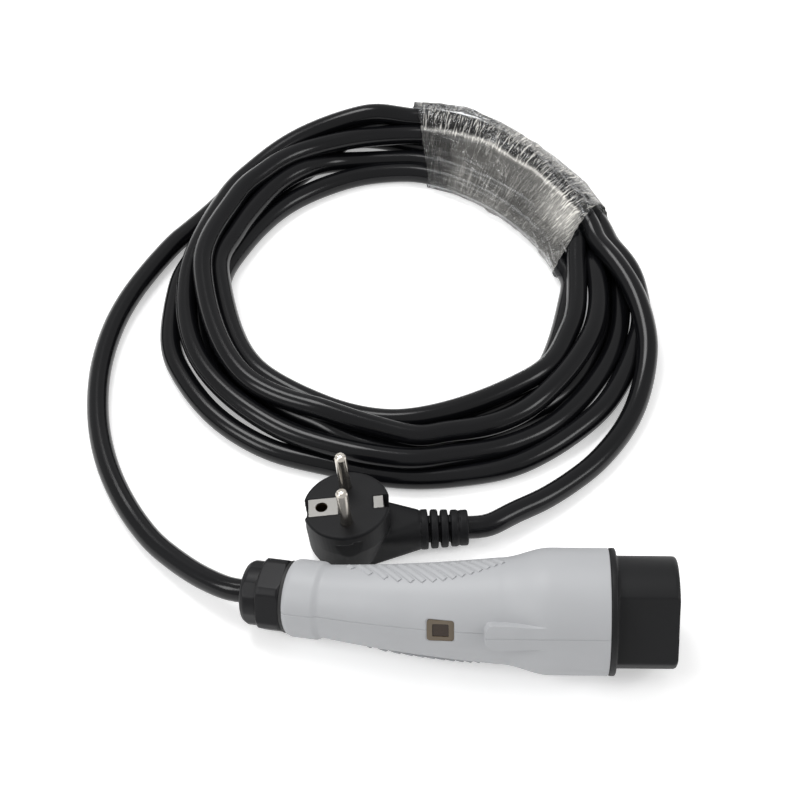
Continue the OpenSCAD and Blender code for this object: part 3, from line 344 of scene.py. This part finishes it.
def outer_r(s, angle):
    """Outer radius of the shells, with the block, the seam and the window's soft border."""
    base = skin_r(s)
    across = base * np.sin(angle)
    top = np.cos(angle) > 0
    inside = rounded_box(s - BODY_LEN - BLOCK_LEN / 2, across, BLOCK_LEN / 2, BLOCK_W / 2, BLOCK_R)
    r = base + np.where(top, (BODY_R - base) * step(inside, -0.3, 0.35), 0)
    border = rounded_box(s - WINDOW_S, across, WINDOW_L / 2 + 0.1, WINDOW_W / 2 + 0.1, 1.2)
    r = r - np.where(top, 0.22 * step(border, -0.35, 0.0), 0)
    seam = 0.22 * (1 - step(across, 0.0, 0.3))
    ends = 0.25 * (1 - step(s, 0.0, 0.35)) + 0.3 * step(s, SHELL_LEN - 0.5, SHELL_LEN)
    return r - seam - ends


def spaced(marks):
    """Values from one mark to the next at each mark's own spacing."""
    out = [marks[0][0]]
    for (a, gap), (b, _) in zip(marks[:-1], marks[1:]):
        n = max(1, round((b - a) / gap))
        out += [a + (b - a) * i / n for i in range(1, n + 1)]
    return np.array(out)


def handle_half(name, side, source):
    """One shell of the handle, its stations closer together at edges, at the block and at the window."""
    s = spaced([(0.0, 0.12), (0.4, 0.8), (22, 0.6), (47.0, 0.1), (48.1, 0.6), (57.6, 0.15), (58.6, 0.5),
                (68.2, 0.15), (69.0, 0.9), (NECK_S, 0.35), (SHELL_LEN - 0.6, 0.12), (SHELL_LEN, 1)])
    angle = np.radians(spaced([(0.0, 0.2), (1.0, 0.6), (9.6, 0.25), (16.0, 1.2), (60, 1.8), (170, 1.2),
                               (179, 0.2), (180.0, 1)]))
    S, A = np.meshgrid(s, angle, indexing="ij")
    R = outer_r(S, A)
    outer = posed(on_spine(S, side * R * np.sin(A), R * np.cos(A)))
    inner_angle = np.radians(np.linspace(0, 180, 33))
    S2, A2 = np.meshgrid(s, inner_angle, indexing="ij")
    R2 = skin_r(S2) - WALL
    inner = posed(on_spine(S2, side * R2 * np.sin(A2), R2 * np.cos(A2)))
    rows, cols, cols2 = len(s), len(angle), len(inner_angle)
    verts = np.concatenate([outer.reshape(-1, 3), inner.reshape(-1, 3)])
    start = rows * cols
    faces = grid_faces(rows, cols) + grid_faces(rows, cols2, start, flip=True)
    for i in range(rows - 1):
        a, b = i * cols, (i + 1) * cols
        c, d = start + i * cols2, start + (i + 1) * cols2
        faces.append((a, b, d, c))
        faces.append((a + cols - 1, c + cols2 - 1, d + cols2 - 1, b + cols - 1))
    for row, flip in ((0, False), (rows - 1, True)):
        ring = [row * cols + j for j in range(cols)] + [start + row * cols2 + j for j in range(cols2 - 1, -1, -1)]
        faces.append(ring[::-1] if flip else ring)
    made = piece_from(name, verts, faces, grey_shell)
    mesh = bmesh.new()
    mesh.from_mesh(made.data)
    bmesh.ops.recalc_face_normals(mesh, faces=mesh.faces)
    mesh.to_mesh(made.data)
    mesh.free()
    cut_window(made)
    sharpen(made, 50)
    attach(made, "root")
    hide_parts(source)


def rounded_outline(half_l, half_w, r, steps=6):
    """Corner points of a rounded rectangle."""
    points = []
    for cx, cy, first in ((1, 1, 0), (-1, 1, 90), (-1, -1, 180), (1, -1, 270)):
        for k in range(steps + 1):
            a = math.radians(first + 90 * k / steps)
            points.append((cx * (half_l - r) + r * math.cos(a), cy * (half_w - r) + r * math.sin(a)))
    return points


def cut_window(made):
    """Opens the window in a shell with a rounded cutter."""
    outline = rounded_outline(WINDOW_L / 2 + 0.1, WINDOW_W / 2 + 0.1, 1.2)
    top = skin_r(WINDOW_S)
    verts = [posed(on_spine(WINDOW_S, y, z, ahead=x)) for z in (top - 6, top + 3) for x, y in outline]
    n = len(outline)
    faces = [tuple(range(n - 1, -1, -1)), tuple(range(n, 2 * n))]
    faces += [(i, (i + 1) % n, n + (i + 1) % n, n + i) for i in range(n)]
    cutter = piece_from("window_cutter", verts, faces, grey_shell, smooth=False)
    cut_away(made, cutter)
    bpy.data.objects.remove(cutter)


def cut_away(made, cutter):
    """Takes the cutter's volume out of a piece."""
    cut = made.modifiers.new("cut", "BOOLEAN")
    cut.operation, cut.solver, cut.object = "DIFFERENCE", "EXACT", cutter
    graph = bpy.context.evaluated_depsgraph_get()
    mesh = bpy.data.meshes.new_from_object(made.evaluated_get(graph))
    made.modifiers.remove(cut)
    old = made.data
    made.data = mesh
    mesh.name = made.name
    bpy.data.meshes.remove(old)


handle_half("handle_shell_left", 1, "handle_left")
handle_half("handle_shell_right", -1, "handle_right")


# Ribs of the grip patches, swept along their lines by a node tree
def rib_tree():
    """The node tree that sweeps a rib with tapered ends along each line."""
    tree = bpy.data.node_groups.new("grip_rib_sweep", "GeometryNodeTree")
    face = tree.interface
    face.new_socket("Lines", in_out="INPUT", socket_type="NodeSocketGeometry")
    width = face.new_socket("Half width", in_out="INPUT", socket_type="NodeSocketFloat")
    height = face.new_socket("Height", in_out="INPUT", socket_type="NodeSocketFloat")
    coat = face.new_socket("Finish", in_out="INPUT", socket_type="NodeSocketMaterial")
    face.new_socket("Ribs", in_out="OUTPUT", socket_type="NodeSocketGeometry")
    given = node(tree, "NodeGroupInput")
    result = node(tree, "NodeGroupOutput")
    line = node(tree, "GeometryNodeMeshToCurve")
    dense = node(tree, "GeometryNodeResampleCurve")
    dense.inputs["Count"].default_value = 22
    along = node(tree, "GeometryNodeSplineParameter")
    taper = node(tree, "ShaderNodeFloatCurve")
    curve = taper.mapping.curves[0]
    curve.points[0].location = (0.0, 0.15)
    curve.points[1].location = (1.0, 0.15)
    curve.points.new(0.14, 1.0)
    curve.points.new(0.86, 1.0)
    taper.mapping.update()
    radius = node(tree, "GeometryNodeSetCurveRadius")
    ring = node(tree, "GeometryNodeCurvePrimitiveCircle")
    ring.inputs["Resolution"].default_value = 12
    ring.inputs["Radius"].default_value = 1.0
    squash = node(tree, "GeometryNodeTransform")
    size = node(tree, "ShaderNodeCombineXYZ")
    sweep = node(tree, "GeometryNodeCurveToMesh")
    sweep.inputs["Fill Caps"].default_value = True
    real = node(tree, "GeometryNodeRealizeInstances")
    paint = node(tree, "GeometryNodeSetMaterial")
    link = tree.links.new
    link(given.outputs["Lines"], line.inputs["Mesh"])
    link(line.outputs["Curve"], dense.inputs["Curve"])
    link(along.outputs["Factor"], taper.inputs["Value"])
    link(dense.outputs["Curve"], radius.inputs["Curve"])
    link(taper.outputs["Value"], radius.inputs["Radius"])
    link(given.outputs["Half width"], size.inputs["X"])
    link(given.outputs["Height"], size.inputs["Y"])
    size.inputs["Z"].default_value = 1.0
    link(ring.outputs["Curve"], squash.inputs["Geometry"])
    link(size.outputs["Vector"], squash.inputs["Scale"])
    link(radius.outputs["Curve"], sweep.inputs["Curve"])
    link(squash.outputs["Geometry"], sweep.inputs["Profile Curve"])
    link(sweep.outputs["Mesh"], real.inputs["Geometry"])
    link(real.outputs["Geometry"], paint.inputs["Geometry"])
    link(given.outputs["Finish"], paint.inputs["Material"])
    link(paint.outputs["Geometry"], result.inputs["Ribs"])
    return tree, {"width": width.identifier, "height": height.identifier, "finish": coat.identifier}


def grip_ribs(name, side):
    """Slanting ribs that follow the skin inside the leaf-shaped patch."""
    verts, edges = [], []
    s = PATCH_MID - PATCH_LEN / 2 + RIB_PITCH
    while s < PATCH_MID + PATCH_LEN / 2 + RIB_PITCH / 2:
        reach = 2.0
        for _ in range(20):
            reach = max(-1.0, (reach + patch_edge(s - reach)) / 2)
        if reach > -1:
            w = np.linspace(-2, reach, 9)
            r = skin_r(s - w)
            a = math.pi / 2 - w / r
            first = len(verts)
            verts += list(posed(on_spine(s - w, side * r * np.sin(a), r * np.cos(a))))
            edges += [(first + i, first + i + 1) for i in range(len(w) - 1)]
        s += RIB_PITCH
    mesh = bpy.data.meshes.new(name)
    mesh.from_pydata([tuple(v) for v in verts], edges, [])
    made = bpy.data.objects.new(name, mesh)
    scene.collection.objects.link(made)
    tree, keys = rib_tree()
    modifier = made.modifiers.new("ribs", "NODES")
    modifier.node_group = tree
    modifier[keys["width"]] = RIB_W / 2 * MM
    modifier[keys["height"]] = RIB_H * MM
    modifier[keys["finish"]] = grey_shell
    plain_mesh(made)
    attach(made, "root")


def plain_mesh(made):
    """The evaluated result takes the place of the modifiers."""
    graph = bpy.context.evaluated_depsgraph_get()
    mesh = bpy.data.meshes.new_from_object(made.evaluated_get(graph))
    made.modifiers.clear()
    made.data = mesh
    mesh.name = made.name
    mesh.shade_smooth()


def softened(name, source, material, voxel, rounds):
    """A moulding after its solid, with every edge and inner corner rounded off."""
    made = bpy.data.objects.new(name, nodes[source].data.copy())
    scene.collection.objects.link(made)
    made.data.name = name
    made.matrix_world = nodes[source].matrix_world.copy()
    bpy.context.view_layer.update()
    made.data.transform(made.matrix_world)
    made.matrix_world.identity()
    weld = made.modifiers.new("weld", "WELD")
    weld.merge_threshold = 0.00001
    solid = made.modifiers.new("even", "REMESH")
    solid.mode, solid.voxel_size, solid.use_smooth_shade = "VOXEL", voxel * MM, True
    smooth = made.modifiers.new("round", "SMOOTH")
    smooth.factor, smooth.iterations = 0.5, rounds
    plain_mesh(made)
    made.data.materials.clear()
    made.data.materials.append(material)
    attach(made, "root")
    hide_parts(source)
    return made


plug_moulding = softened("mains_plug_moulding", "plug_body", plug_black, voxel=0.36, rounds=3)
softened("gland_dome_nut", "gland_nut", gland_black, voxel=0.32, rounds=4)
softened("gland_hex_body", "gland_body", gland_black, voxel=0.34, rounds=3)
softened("nose_moulding", "nose_shell", nose_black, voxel=0.45, rounds=3)
grip_ribs("grip_ribs_left", 1)
grip_ribs("grip_ribs_right", -1)

# Cable -------------------------------------------------------------------
# The coil's centre, where the cable leaves the gland and enters the plug, and its line between them, in
# millimetres
COIL = np.array([-27.5, 185.0])
gland_mouth = np.array([-82.7651, 12.3548, 13.7137])
gland_way = np.array([-0.964957, 0.214258, -0.151498])
relief_mouth = np.array([4.41126, 50.3229, 8.6])
relief_way = np.array([math.cos(math.radians(5)), math.sin(math.radians(5)), 0])
HANDLE_LEAD = [
    (-103, 22, 9.5), (-115, 32, 7), (-126, 43, 5.5), (-138, 60, 4.8), (-147.5, 78.5, 4.8),
    (-154, 98, 4.8), (-157.5, 118, 4.8), (-158.3, 138, 4.8), (-156, 159, 4.8), (-151, 177.5, 4.8),
    (-143.5, 195.1, 4.8), (-133.8, 213.2, 4.8),
]
PLUG_LEAD = [
    (66.5, 212, 21.5), (73, 199.5, 19.5), (78.5, 184.5, 17), (81.5, 171, 14.5), (82.7, 157, 11.5),
    (82.2, 144.5, 9), (80, 132, 7.3), (76, 118.5, 6), (69, 104, 5.2), (59, 89.5, 4.8), (48, 78, 5.2),
    (36, 67.5, 6.4), (24, 59.5, 7.6),
]
# One turn per line: angle in degrees, distance from the coil's centre, height
TURNS = [
    [(160, 106.5, 4.8), (150, 103, 4.8), (138, 104.5, 4.8), (125, 109.5, 4.8), (110, 114.5, 4.8),
     (90, 116.5, 4.8), (70, 110, 4.8), (45, 104, 4.8), (20, 99.5, 4.8), (0, 99.5, 4.8), (-20, 100.5, 5),
     (-45, 102, 7), (-60, 102.5, 8.5), (-75, 101.5, 11), (-90, 101.5, 12.5), (-120, 99.5, 13),
     (-150, 99.5, 13), (-180, 96.8, 13)],
    [(150, 97.5, 14), (135, 100.5, 15), (120, 103.2, 17.5), (105, 105.4, 18.5), (90, 105.6, 19.3),
     (75, 107.1, 17), (60, 105.8, 14), (40, 104.1, 12), (25, 104.5, 10), (12, 104.5, 7.5), (0, 108, 5.5),
     (-10, 111, 4.8), (-25, 110.8, 4.8), (-40, 111.4, 4.8), (-60, 111.2, 4.8), (-75, 108.5, 4.8),
     (-90, 106.3, 4.8), (-105, 104.4, 4.8), (-120, 107.4, 4.8), (-135, 108.6, 4.8), (-150, 108.2, 4.8),
     (-162, 106.8, 4.8), (-180, 101.2, 4.8)],
    [(170, 97.7, 4.8), (155, 94.5, 4.8), (135, 96.5, 4.8), (120, 104, 4.8), (106, 105.5, 4.8),
     (92, 101, 4.8), (60, 98, 4.8), (45, 95.5, 4.8), (20, 91, 4.8), (0, 90.5, 4.8), (-20, 92, 4.8),
     (-45, 92.5, 4.8), (-90, 92, 6), (-120, 88, 9), (-150, 84, 6), (-180, 83, 4.8)],
    [(160, 80.3, 4.8), (135, 78.8, 4.8), (110, 78, 4.8), (90, 76.6, 4.8), (75, 75.6, 4.8), (60, 73.8, 4.8),
     (45, 72.8, 4.8), (30, 73.8, 4.8), (15, 75.8, 4.8), (0, 77.2, 4.8), (-45, 82, 4.8), (-90, 87, 4.8),
     (-120, 94, 4.8), (-150, 95, 4.8), (-180, 92.3, 4.8)],
    [(160, 88.5, 4.8), (150, 87, 4.8), (135, 87, 4.8), (125, 88, 4.8), (119, 91, 4.8), (113, 94.5, 7.5),
     (107, 98.5, 11), (98, 104, 13), (88, 108.5, 13), (65, 101, 13), (45, 90, 15), (20, 82, 14),
     (0, 80, 13), (-20, 81, 13), (-45, 81.8, 13), (-90, 82.8, 13), (-135, 84, 13), (-180, 82.5, 13.5)],
    [(160, 82.5, 12), (145, 84.5, 12), (132, 88.5, 10.5), (120, 90.5, 8), (112, 91, 6), (104, 89.5, 4.8),
     (95, 88, 4.8), (85, 87.5, 4.8), (68, 85, 4.8), (52, 83, 5.5), (40, 84.5, 8.5), (20, 90, 13),
     (0, 90.5, 13), (-20, 91, 13), (-45, 92, 13.5), (-60, 93, 13.5), (-75, 91, 14), (-90, 90, 15),
     (-135, 90.5, 17), (-180, 89.5, 18.8)],
    [(150, 90.5, 18), (135, 91.5, 16.5), (120, 93.8, 15), (105, 95.5, 14.3), (90, 97.2, 14.3),
     (80, 96.9, 15.5), (70, 93.8, 18), (60, 92.2, 20), (50, 91.4, 21.5), (40, 91.6, 22), (30, 93.1, 22),
     (20, 96, 21.6)],
]


# How far touching strands press into one another, how many points along the cable don't count as another
# strand, how near two strands may start and stay as they are, and the room between a strand and the film
PRESS, NEIGHBOURS, SAME_PLACE, FILM_ROOM = 1.0, 6, 4.5, 1.7
POINT_GAP, HELD_POINTS, SETTLE_ROUNDS = 5.0, 14, 300


def smooth_line(points, gap):
    """Even points along a smooth line through the given ones."""
    p = np.asarray(points, float)
    ext = np.vstack([2 * p[0] - p[1], p, 2 * p[-1] - p[-2]])
    out = []
    for k in range(1, len(ext) - 2):
        a, b, c, d = ext[k - 1:k + 3]
        for t in np.linspace(0, 1, 24, endpoint=False):
            out.append((2 * b + (c - a) * t + (2 * a - 5 * b + 4 * c - d) * t * t
                        + (3 * b - a - 3 * c + d) * t ** 3) / 2)
    out.append(p[-1])
    out = np.array(out)
    far = np.concatenate([[0], np.cumsum(np.linalg.norm(np.diff(out, axis=0), axis=1))])
    n = int(round(far[-1] / gap))
    return np.stack([np.interp(np.linspace(0, far[-1], n + 1), far, out[:, k]) for k in range(3)], 1)


def wound_points():
    """The turns of the coil as points."""
    points = []
    for turn in TURNS:
        for degrees, r, z in turn:
            a = math.radians(degrees)
            points.append((COIL[0] + r * math.cos(a), COIL[1] + r * math.sin(a), z))
    return points


# By angle: step of the inner and the outer radius, height of the outer shoulder, place of the crest
# across the coil, its height and the height of the inner shoulder, heights as shares of COIL_H
COIL_IN, COIL_OUT, COIL_H = 73.0, 108.0, 27.0
FILM_SHAPE = np.array([
    (-15, -1.5, 4, 0.3, 0.31, 0.68, 0.5), (0, -1, 4, 0.3, 0.36, 0.68, 0.52),
    (12, -2, 2, 0.36, 0.42, 0.72, 0.46), (18, -2.5, 1.5, 0.58, 0.62, 0.97, 0.43),
    (30, -4, 0.5, 0.65, 0.57, 0.98, 0.38), (45, -5, 2.5, 0.64, 0.6, 0.95, 0.36),
    (60, -4, 5, 0.6, 0.77, 0.92, 0.34), (75, -2, 9, 0.5, 0.89, 0.97, 0.34),
    (90, -0.5, 13.5, 0.48, 0.93, 0.9, 0.34), (105, 0, 13.5, 0.36, 0.89, 0.82, 0.34),
])
# Angles of the film's two edges where they cross the radius FILM_MID, and how far each edge leans there
FILM_FROM, FILM_TO, LEAN_FROM, LEAN_TO, FILM_MID = 23.0, 86.0, 31.0, 15.0, 95.5


def film_section(degrees):
    """Corner points of the film's cross-section at one angle, as distance and height."""
    inner, outer, rim, place, top, lip = (np.interp(degrees, FILM_SHAPE[:, 0], FILM_SHAPE[:, k])
                                          for k in range(1, 7))
    inner, outer = COIL_IN + inner, COIL_OUT + outer
    crest, top, rim, lip = COIL_IN + place * (COIL_OUT - COIL_IN), top * COIL_H, rim * COIL_H, lip * COIL_H
    return np.array([(inner, 4.5), (inner + 3, 0), (outer - 3, 0), (outer, 4.5), (outer - 4, rim),
                     (crest + 6, top - 2.5), (crest - 1, top), (max(crest - 7, inner + 5), top - 2),
                     (inner + 3, min(lip, top - 3)), (inner, min(lip, top - 3) - 3.5)])


def inside_film(line):
    """Push that keeps the strands inside the film."""
    push = np.zeros_like(line)
    side = line[:, :2] - COIL
    angle, r = np.degrees(np.arctan2(side[:, 1], side[:, 0])), np.hypot(side[:, 0], side[:, 1])
    for i in np.nonzero((angle > 14) & (angle < 91) & (r < 122))[0]:
        corners = film_section(angle[i])
        for a, b in zip(corners[3:9], corners[4:10]):
            way = (b - a) / np.linalg.norm(b - a)
            inward = np.array([-way[1], way[0]])
            short = CABLE_R + FILM_ROOM - (np.array([r[i], line[i, 2]]) - a) @ inward
            if short > 0:
                push[i, :2] += side[i] / r[i] * inward[0] * short
                push[i, 2] += inward[1] * short
    return push


def settle(home, held, rounds):
    """Strands that come too near push one another apart. The push is spread along them, so that the line stays
    smooth, and the first and last points are held."""
    gap = 2 * CABLE_R - PRESS
    n = len(home)
    index = np.arange(n)
    apart = np.linalg.norm(home[:, None, :] - home[None, :, :], axis=2)
    pairs = np.triu(np.abs(index[:, None] - index[None, :]) > NEIGHBOURS) & (apart > SAME_PLACE)
    shift = np.zeros_like(home)
    free = np.ones(n)
    free[:held] = np.linspace(0, 1, held) ** 2
    free[n - held:] = np.linspace(1, 0, held) ** 2
    for k in range(rounds):
        line = home + shift
        delta = line[:, None, :] - line[None, :, :]
        dist = np.linalg.norm(delta, axis=2)
        i, j = np.nonzero((dist < gap) & pairs)
        if len(i):
            d = dist[i, j]
            push = delta[i, j] / np.maximum(d, 1e-6)[:, None] * (gap - d)[:, None] * 0.5
            # The upper strand of a crossing stays the upper one
            push[:, 2] += np.sign(home[i, 2] - home[j, 2]) * (gap - d) * 0.15
            count, move = np.zeros(n), np.zeros_like(home)
            np.add.at(move, i, push)
            np.add.at(move, j, -push)
            np.add.at(count, i, 1)
            np.add.at(count, j, 1)
            shift += move / np.maximum(count, 1)[:, None] * 1.3
        if k % 3 == 0:
            shift += 0.8 * inside_film(home + shift)
        # Less smoothing in the last rounds, a little pull back to the given line, and down to the table
        share = 0.5 if k < rounds - 80 else 0.25
        shift[1:-1] += share * ((shift[:-2] + shift[2:]) / 2 - shift[1:-1])
        shift *= 0.996
        shift[:, 2] = np.maximum(shift[:, 2] - 0.01, CABLE_R - home[:, 2])
        shift *= free[:, None]
    return home + shift


def cable_route():
    """The whole cable from the gland's mouth to the plug's strain relief."""
    start = [gland_mouth + x * gland_way for x in (0, 4, 8)]
    last = [relief_mouth + x * relief_way for x in (8, 4, 0)]
    points = start + [np.array(p, float) for p in HANDLE_LEAD] + [np.array(p) for p in wound_points()]
    points += [np.array(p, float) for p in PLUG_LEAD] + last
    return settle(smooth_line(points, POINT_GAP), HELD_POINTS, SETTLE_ROUNDS)


route = cable_route()


def cable_curve(name, line):
    """A round cable along a line of points in millimetres."""
    curve = bpy.data.curves.new(name, "CURVE")
    curve.dimensions = "3D"
    curve.bevel_depth = CABLE_R * MM
    curve.bevel_resolution = 5
    curve.use_fill_caps = True
    curve.resolution_u = 3
    spline = curve.splines.new("NURBS")
    spline.points.add(len(line) - 1)
    spline.use_endpoint_u = True
    spline.order_u = 4
    for point, p in zip(spline.points, line):
        point.co = (*(np.asarray(p) * MM), 1)
    curve.materials.append(jacket)
    made = bpy.data.objects.new(name, curve)
    scene.collection.objects.link(made)
    return made


cable = cable_curve("charging_cable", route)
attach(cable, "root")
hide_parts("lead_to_handle", "cable_coil", "lead_to_plug")


# Film --------------------------------------------------------------------
# Angles of the film's sections, points round it and along it, its thickness, how many folds it has, and the
# height under which it lies flat on the table
SECTION_ANGLES = np.linspace(5, 95, 91)
AROUND, ALONG, FILM_T, FOLDS, FLAT_Z = 132, 120, 0.12, 26, 1.5


def film_rows():
    """Sections at many angles, each resampled to the same number of points from the inner foot outward."""
    # Points on each side of the section, more on the long ones
    share = np.array([3, 14, 4, 5, 9, 5, 5, 14, 4, 3]) * AROUND // 66
    rows = []
    for degrees in SECTION_ANGLES:
        corners = film_section(degrees)
        loop = np.vstack([corners, corners[:1]])
        points = np.array([loop[k] * (1 - t) + loop[k + 1] * t
                           for k, n in enumerate(share) for t in np.arange(n) / n])
        for _ in range(3):
            points = (np.roll(points, 1, 0) + np.roll(points, -1, 0) + 2 * points) / 4
        rows.append(points)
    return np.array(rows)


def edge_angle(r, a, lean):
    """Angle at which the film's straight edge crosses the circle of a given radius."""
    a, way = math.radians(a), math.radians(a + lean)
    base = np.array([math.cos(a), math.sin(a)]) * FILM_MID
    along = np.array([math.cos(way), math.sin(way)])
    b = base @ along
    far = -b + np.sqrt(np.maximum(b * b - FILM_MID ** 2 + r * r, 0))
    return np.degrees(np.arctan2(base[1] + far * along[1], base[0] + far * along[0]))


def film_folds(degrees, turn, z):
    """Height of the film's folds: random ones that run round the coil, and fine pleats across them."""
    fold = np.zeros_like(degrees)
    for k in range(FOLDS):
        tilt, width = rng.normal(0, 2.2), rng.uniform(0.7, 1.6)
        middle = rng.uniform(4, 92) + tilt * 3 * np.sin(turn + rng.uniform(0, 6)) + tilt * np.sin(3 * turn + k)
        part = 0.5 + 0.5 * np.sin(turn * rng.integers(1, 4) + rng.uniform(0, 6))
        fold += rng.uniform(0.15, 0.5) * part * np.exp(-((degrees - middle) / width) ** 2)
    fold += 0.25 * np.sin(31 * turn + 0.5 * degrees + 2 * np.sin(0.3 * degrees)) * np.sin(0.21 * degrees + 5 * turn)
    return np.where(z < FLAT_Z, 0.1, fold)


def film_marks(degrees, r):
    """How milky and how scratched the film is: a pale outer side, a clear band that shows the cable, a painted
    highlight line beside it (laid into both the milky veil and the scratches), a grey inner side, a white patch
    near the plug's lead and an almost clear left edge."""
    line = np.interp(degrees, [19, 28, 37, 46, 55, 64, 77, 84], [89, 86.5, 86.5, 87.5, 89, 92, 93, 94])
    border = np.interp(degrees, [24, 58, 70, 76], [97, 97, 111, 118])
    inner, outer = step(line - r, 0.2, 1.6), step(r - border, -0.5, 1)
    left = step(degrees, 70, 76)
    white = inner * np.exp(-((degrees - 27) / 8) ** 2) * step(r, 75, 82)
    # Painted highlight: a bright line along the film's ridge, added to the milky veil and to the scratches
    painted_highlight = np.exp(-((r - line) / 0.7) ** 2) * step(degrees, 21, 26) * (1 - 0.5 * step(degrees, 66, 80))
    milk_and_highlight = 0.006 + 0.065 * inner * (1 - 0.8 * left) + 0.16 * outer * (1 - left) + 0.26 * white + 0.4 * painted_highlight
    scratch_and_highlight = 0.5 + 0.2 * outer + 0.5 * white - 0.32 * inner - 0.12 * left + 0.4 * painted_highlight
    return milk_and_highlight, scratch_and_highlight


def point_values(made, name, kind, key, values):
    """A named value on every point, for the material."""
    layer = made.data.attributes.new(name, kind, "POINT")
    layer.data.foreach_set(key, values.reshape(-1).astype(np.float32))


def film_wrap():
    """Stretch film wound round the coil: a thin sleeve with folds that run round it."""
    rows = film_rows()
    around = rows.shape[1]

    def section(column):
        return np.array([np.interp(degrees[:, j], SECTION_ANGLES, rows[:, j, column]) for j in range(around)]).T

    u = np.linspace(0, 1, ALONG + 1)[:, None] * np.ones((1, around))
    v = np.ones((ALONG + 1, 1)) * np.arange(around)[None, :] / around
    degrees = FILM_FROM + (FILM_TO - FILM_FROM) * u
    # The edges depend on the radius and the radius on the angle, so a few rounds bring both together
    for _ in range(6):
        r = section(0)
        low, high = edge_angle(r, FILM_FROM, LEAN_FROM), edge_angle(r, FILM_TO, LEAN_TO)
        ragged = 0.12 * np.sin(7 * v * 6.28 + 1) + 0.06 * np.sin(19 * v * 6.28)
        degrees = low + (high - low) * u + ragged * ((1 - u) ** 12 - u ** 12 * 0.6)
    r, z = section(0), section(1)
    # Outward direction across the section
    dr, dz = np.roll(r, -1, 1) - np.roll(r, 1, 1), np.roll(z, -1, 1) - np.roll(z, 1, 1)
    size = np.hypot(dr, dz) + 1e-6
    nr, nz = dz / size, -dr / size
    fold = film_folds(degrees, 2 * math.pi * v, z)
    r, z = r + nr * (fold - 0.15), np.maximum(z + nz * (fold - 0.15), 0.15)
    t = np.radians(degrees)
    points = np.stack([COIL[0] + r * np.cos(t), COIL[1] + r * np.sin(t), z], -1) * MM
    made = piece_from("film_wrap", points.reshape(-1, 3), grid_faces(ALONG + 1, around, closed=True), film_clear)
    # Milkiness and scratches, each with the painted highlight line along the film's ridge added in
    milk_and_highlight, scratch_and_highlight = film_marks(degrees, r)
    point_values(made, "milk_and_highlight", "FLOAT", "value", milk_and_highlight)
    point_values(made, "scratch_and_highlight", "FLOAT", "value", scratch_and_highlight)
    lay = np.stack([degrees * 1.6, v * 300, np.zeros_like(v)], -1) * MM
    point_values(made, "lay", "FLOAT_VECTOR", "vector", lay)
    thick = made.modifiers.new("thickness", "SOLIDIFY")
    thick.thickness = FILM_T * MM
    plain_mesh(made)
    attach(made, "root")
    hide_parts("coil_film")
    return made


film = film_wrap()

# Table, light and camera ---------------------------------------------------

def white_table():
    """The table that everything stands on, outside the part."""
    mesh = bpy.data.meshes.new("table")
    mesh.from_pydata([(-4, -4, 0), (4, -4, 0), (4, 4, 0), (-4, 4, 0)], [], [(0, 1, 2, 3)])
    table = bpy.data.objects.new("table", mesh)
    scene.collection.objects.link(table)
    material = bpy.data.materials.new("white_table")
    material.use_nodes = True
    tree = material.node_tree
    tree.nodes.clear()
    # White to the eye and in reflections by a little light of its own, which no shaded thing receives
    paper = node(tree, "ShaderNodeBsdfDiffuse", in_Color=(0.9, 0.9, 0.9, 1), in_Roughness=0.5)
    lift = node(tree, "ShaderNodeEmission", in_Color=(1, 1, 1, 1))
    ray = node(tree, "ShaderNodeLightPath")
    seen = node(tree, "ShaderNodeMath", operation="ADD", use_clamp=True)
    seen_too = node(tree, "ShaderNodeMath", operation="ADD", use_clamp=True)
    share = node(tree, "ShaderNodeMath", operation="MULTIPLY")
    share.inputs[1].default_value = 0.36
    both = node(tree, "ShaderNodeAddShader")
    out = node(tree, "ShaderNodeOutputMaterial")
    link = tree.links.new
    link(ray.outputs["Is Camera Ray"], seen.inputs[0])
    link(ray.outputs["Is Glossy Ray"], seen.inputs[1])
    link(seen.outputs["Value"], seen_too.inputs[0])
    link(ray.outputs["Is Transmission Ray"], seen_too.inputs[1])
    link(seen_too.outputs["Value"], share.inputs[0])
    link(share.outputs["Value"], lift.inputs["Strength"])
    link(paper.outputs["BSDF"], both.inputs[0])
    link(lift.outputs["Emission"], both.inputs[1])
    link(both.outputs["Shader"], out.inputs["Surface"])
    mesh.materials.append(material)


white_table()


def soft_light(name, place, aim, width, watts):
    """A square lamp at one place, turned to another."""
    lamp = bpy.data.lights.new(name, "AREA")
    lamp.shape = "RECTANGLE"
    lamp.size, lamp.size_y = width, width
    lamp.energy = watts
    made = bpy.data.objects.new(name, lamp)
    scene.collection.objects.link(made)
    made.location = place
    made.rotation_euler = (Vector(aim) - Vector(place)).to_track_quat("-Z", "Y").to_euler()


world = bpy.data.worlds.new("studio")
scene.world = world
world.use_nodes = True
world.node_tree.nodes["Background"].inputs["Color"].default_value = (1, 1, 1, 1)
world.node_tree.nodes["Background"].inputs["Strength"].default_value = 0.62
soft_light("light_over", (-0.35, 0.55, 1.15), (-0.03, 0.1, 0), 0.5, 7)
soft_light("light_left", (-1.0, -0.35, 0.9), (-0.03, 0.1, 0), 0.45, 5)
soft_light("light_right", (1.0, -0.1, 0.85), (-0.03, 0.1, 0), 0.4, 3.5)

camera_data = bpy.data.cameras.new("camera")
camera = bpy.data.objects.new("camera", camera_data)
scene.collection.objects.link(camera)
scene.camera = camera
camera_data.lens = 87.1
camera_data.sensor_width = 36
camera_data.sensor_fit = "HORIZONTAL"
camera_data.clip_end = 20
camera.location = Vector((-8.6, -421.2, 651.1)) * MM
camera_aim = Vector((-25.8, 124.9, 0)) * MM
camera.rotation_euler = (camera_aim - camera.location).to_track_quat("-Z", "Y").to_euler()
scene.view_settings.view_transform = "Standard"
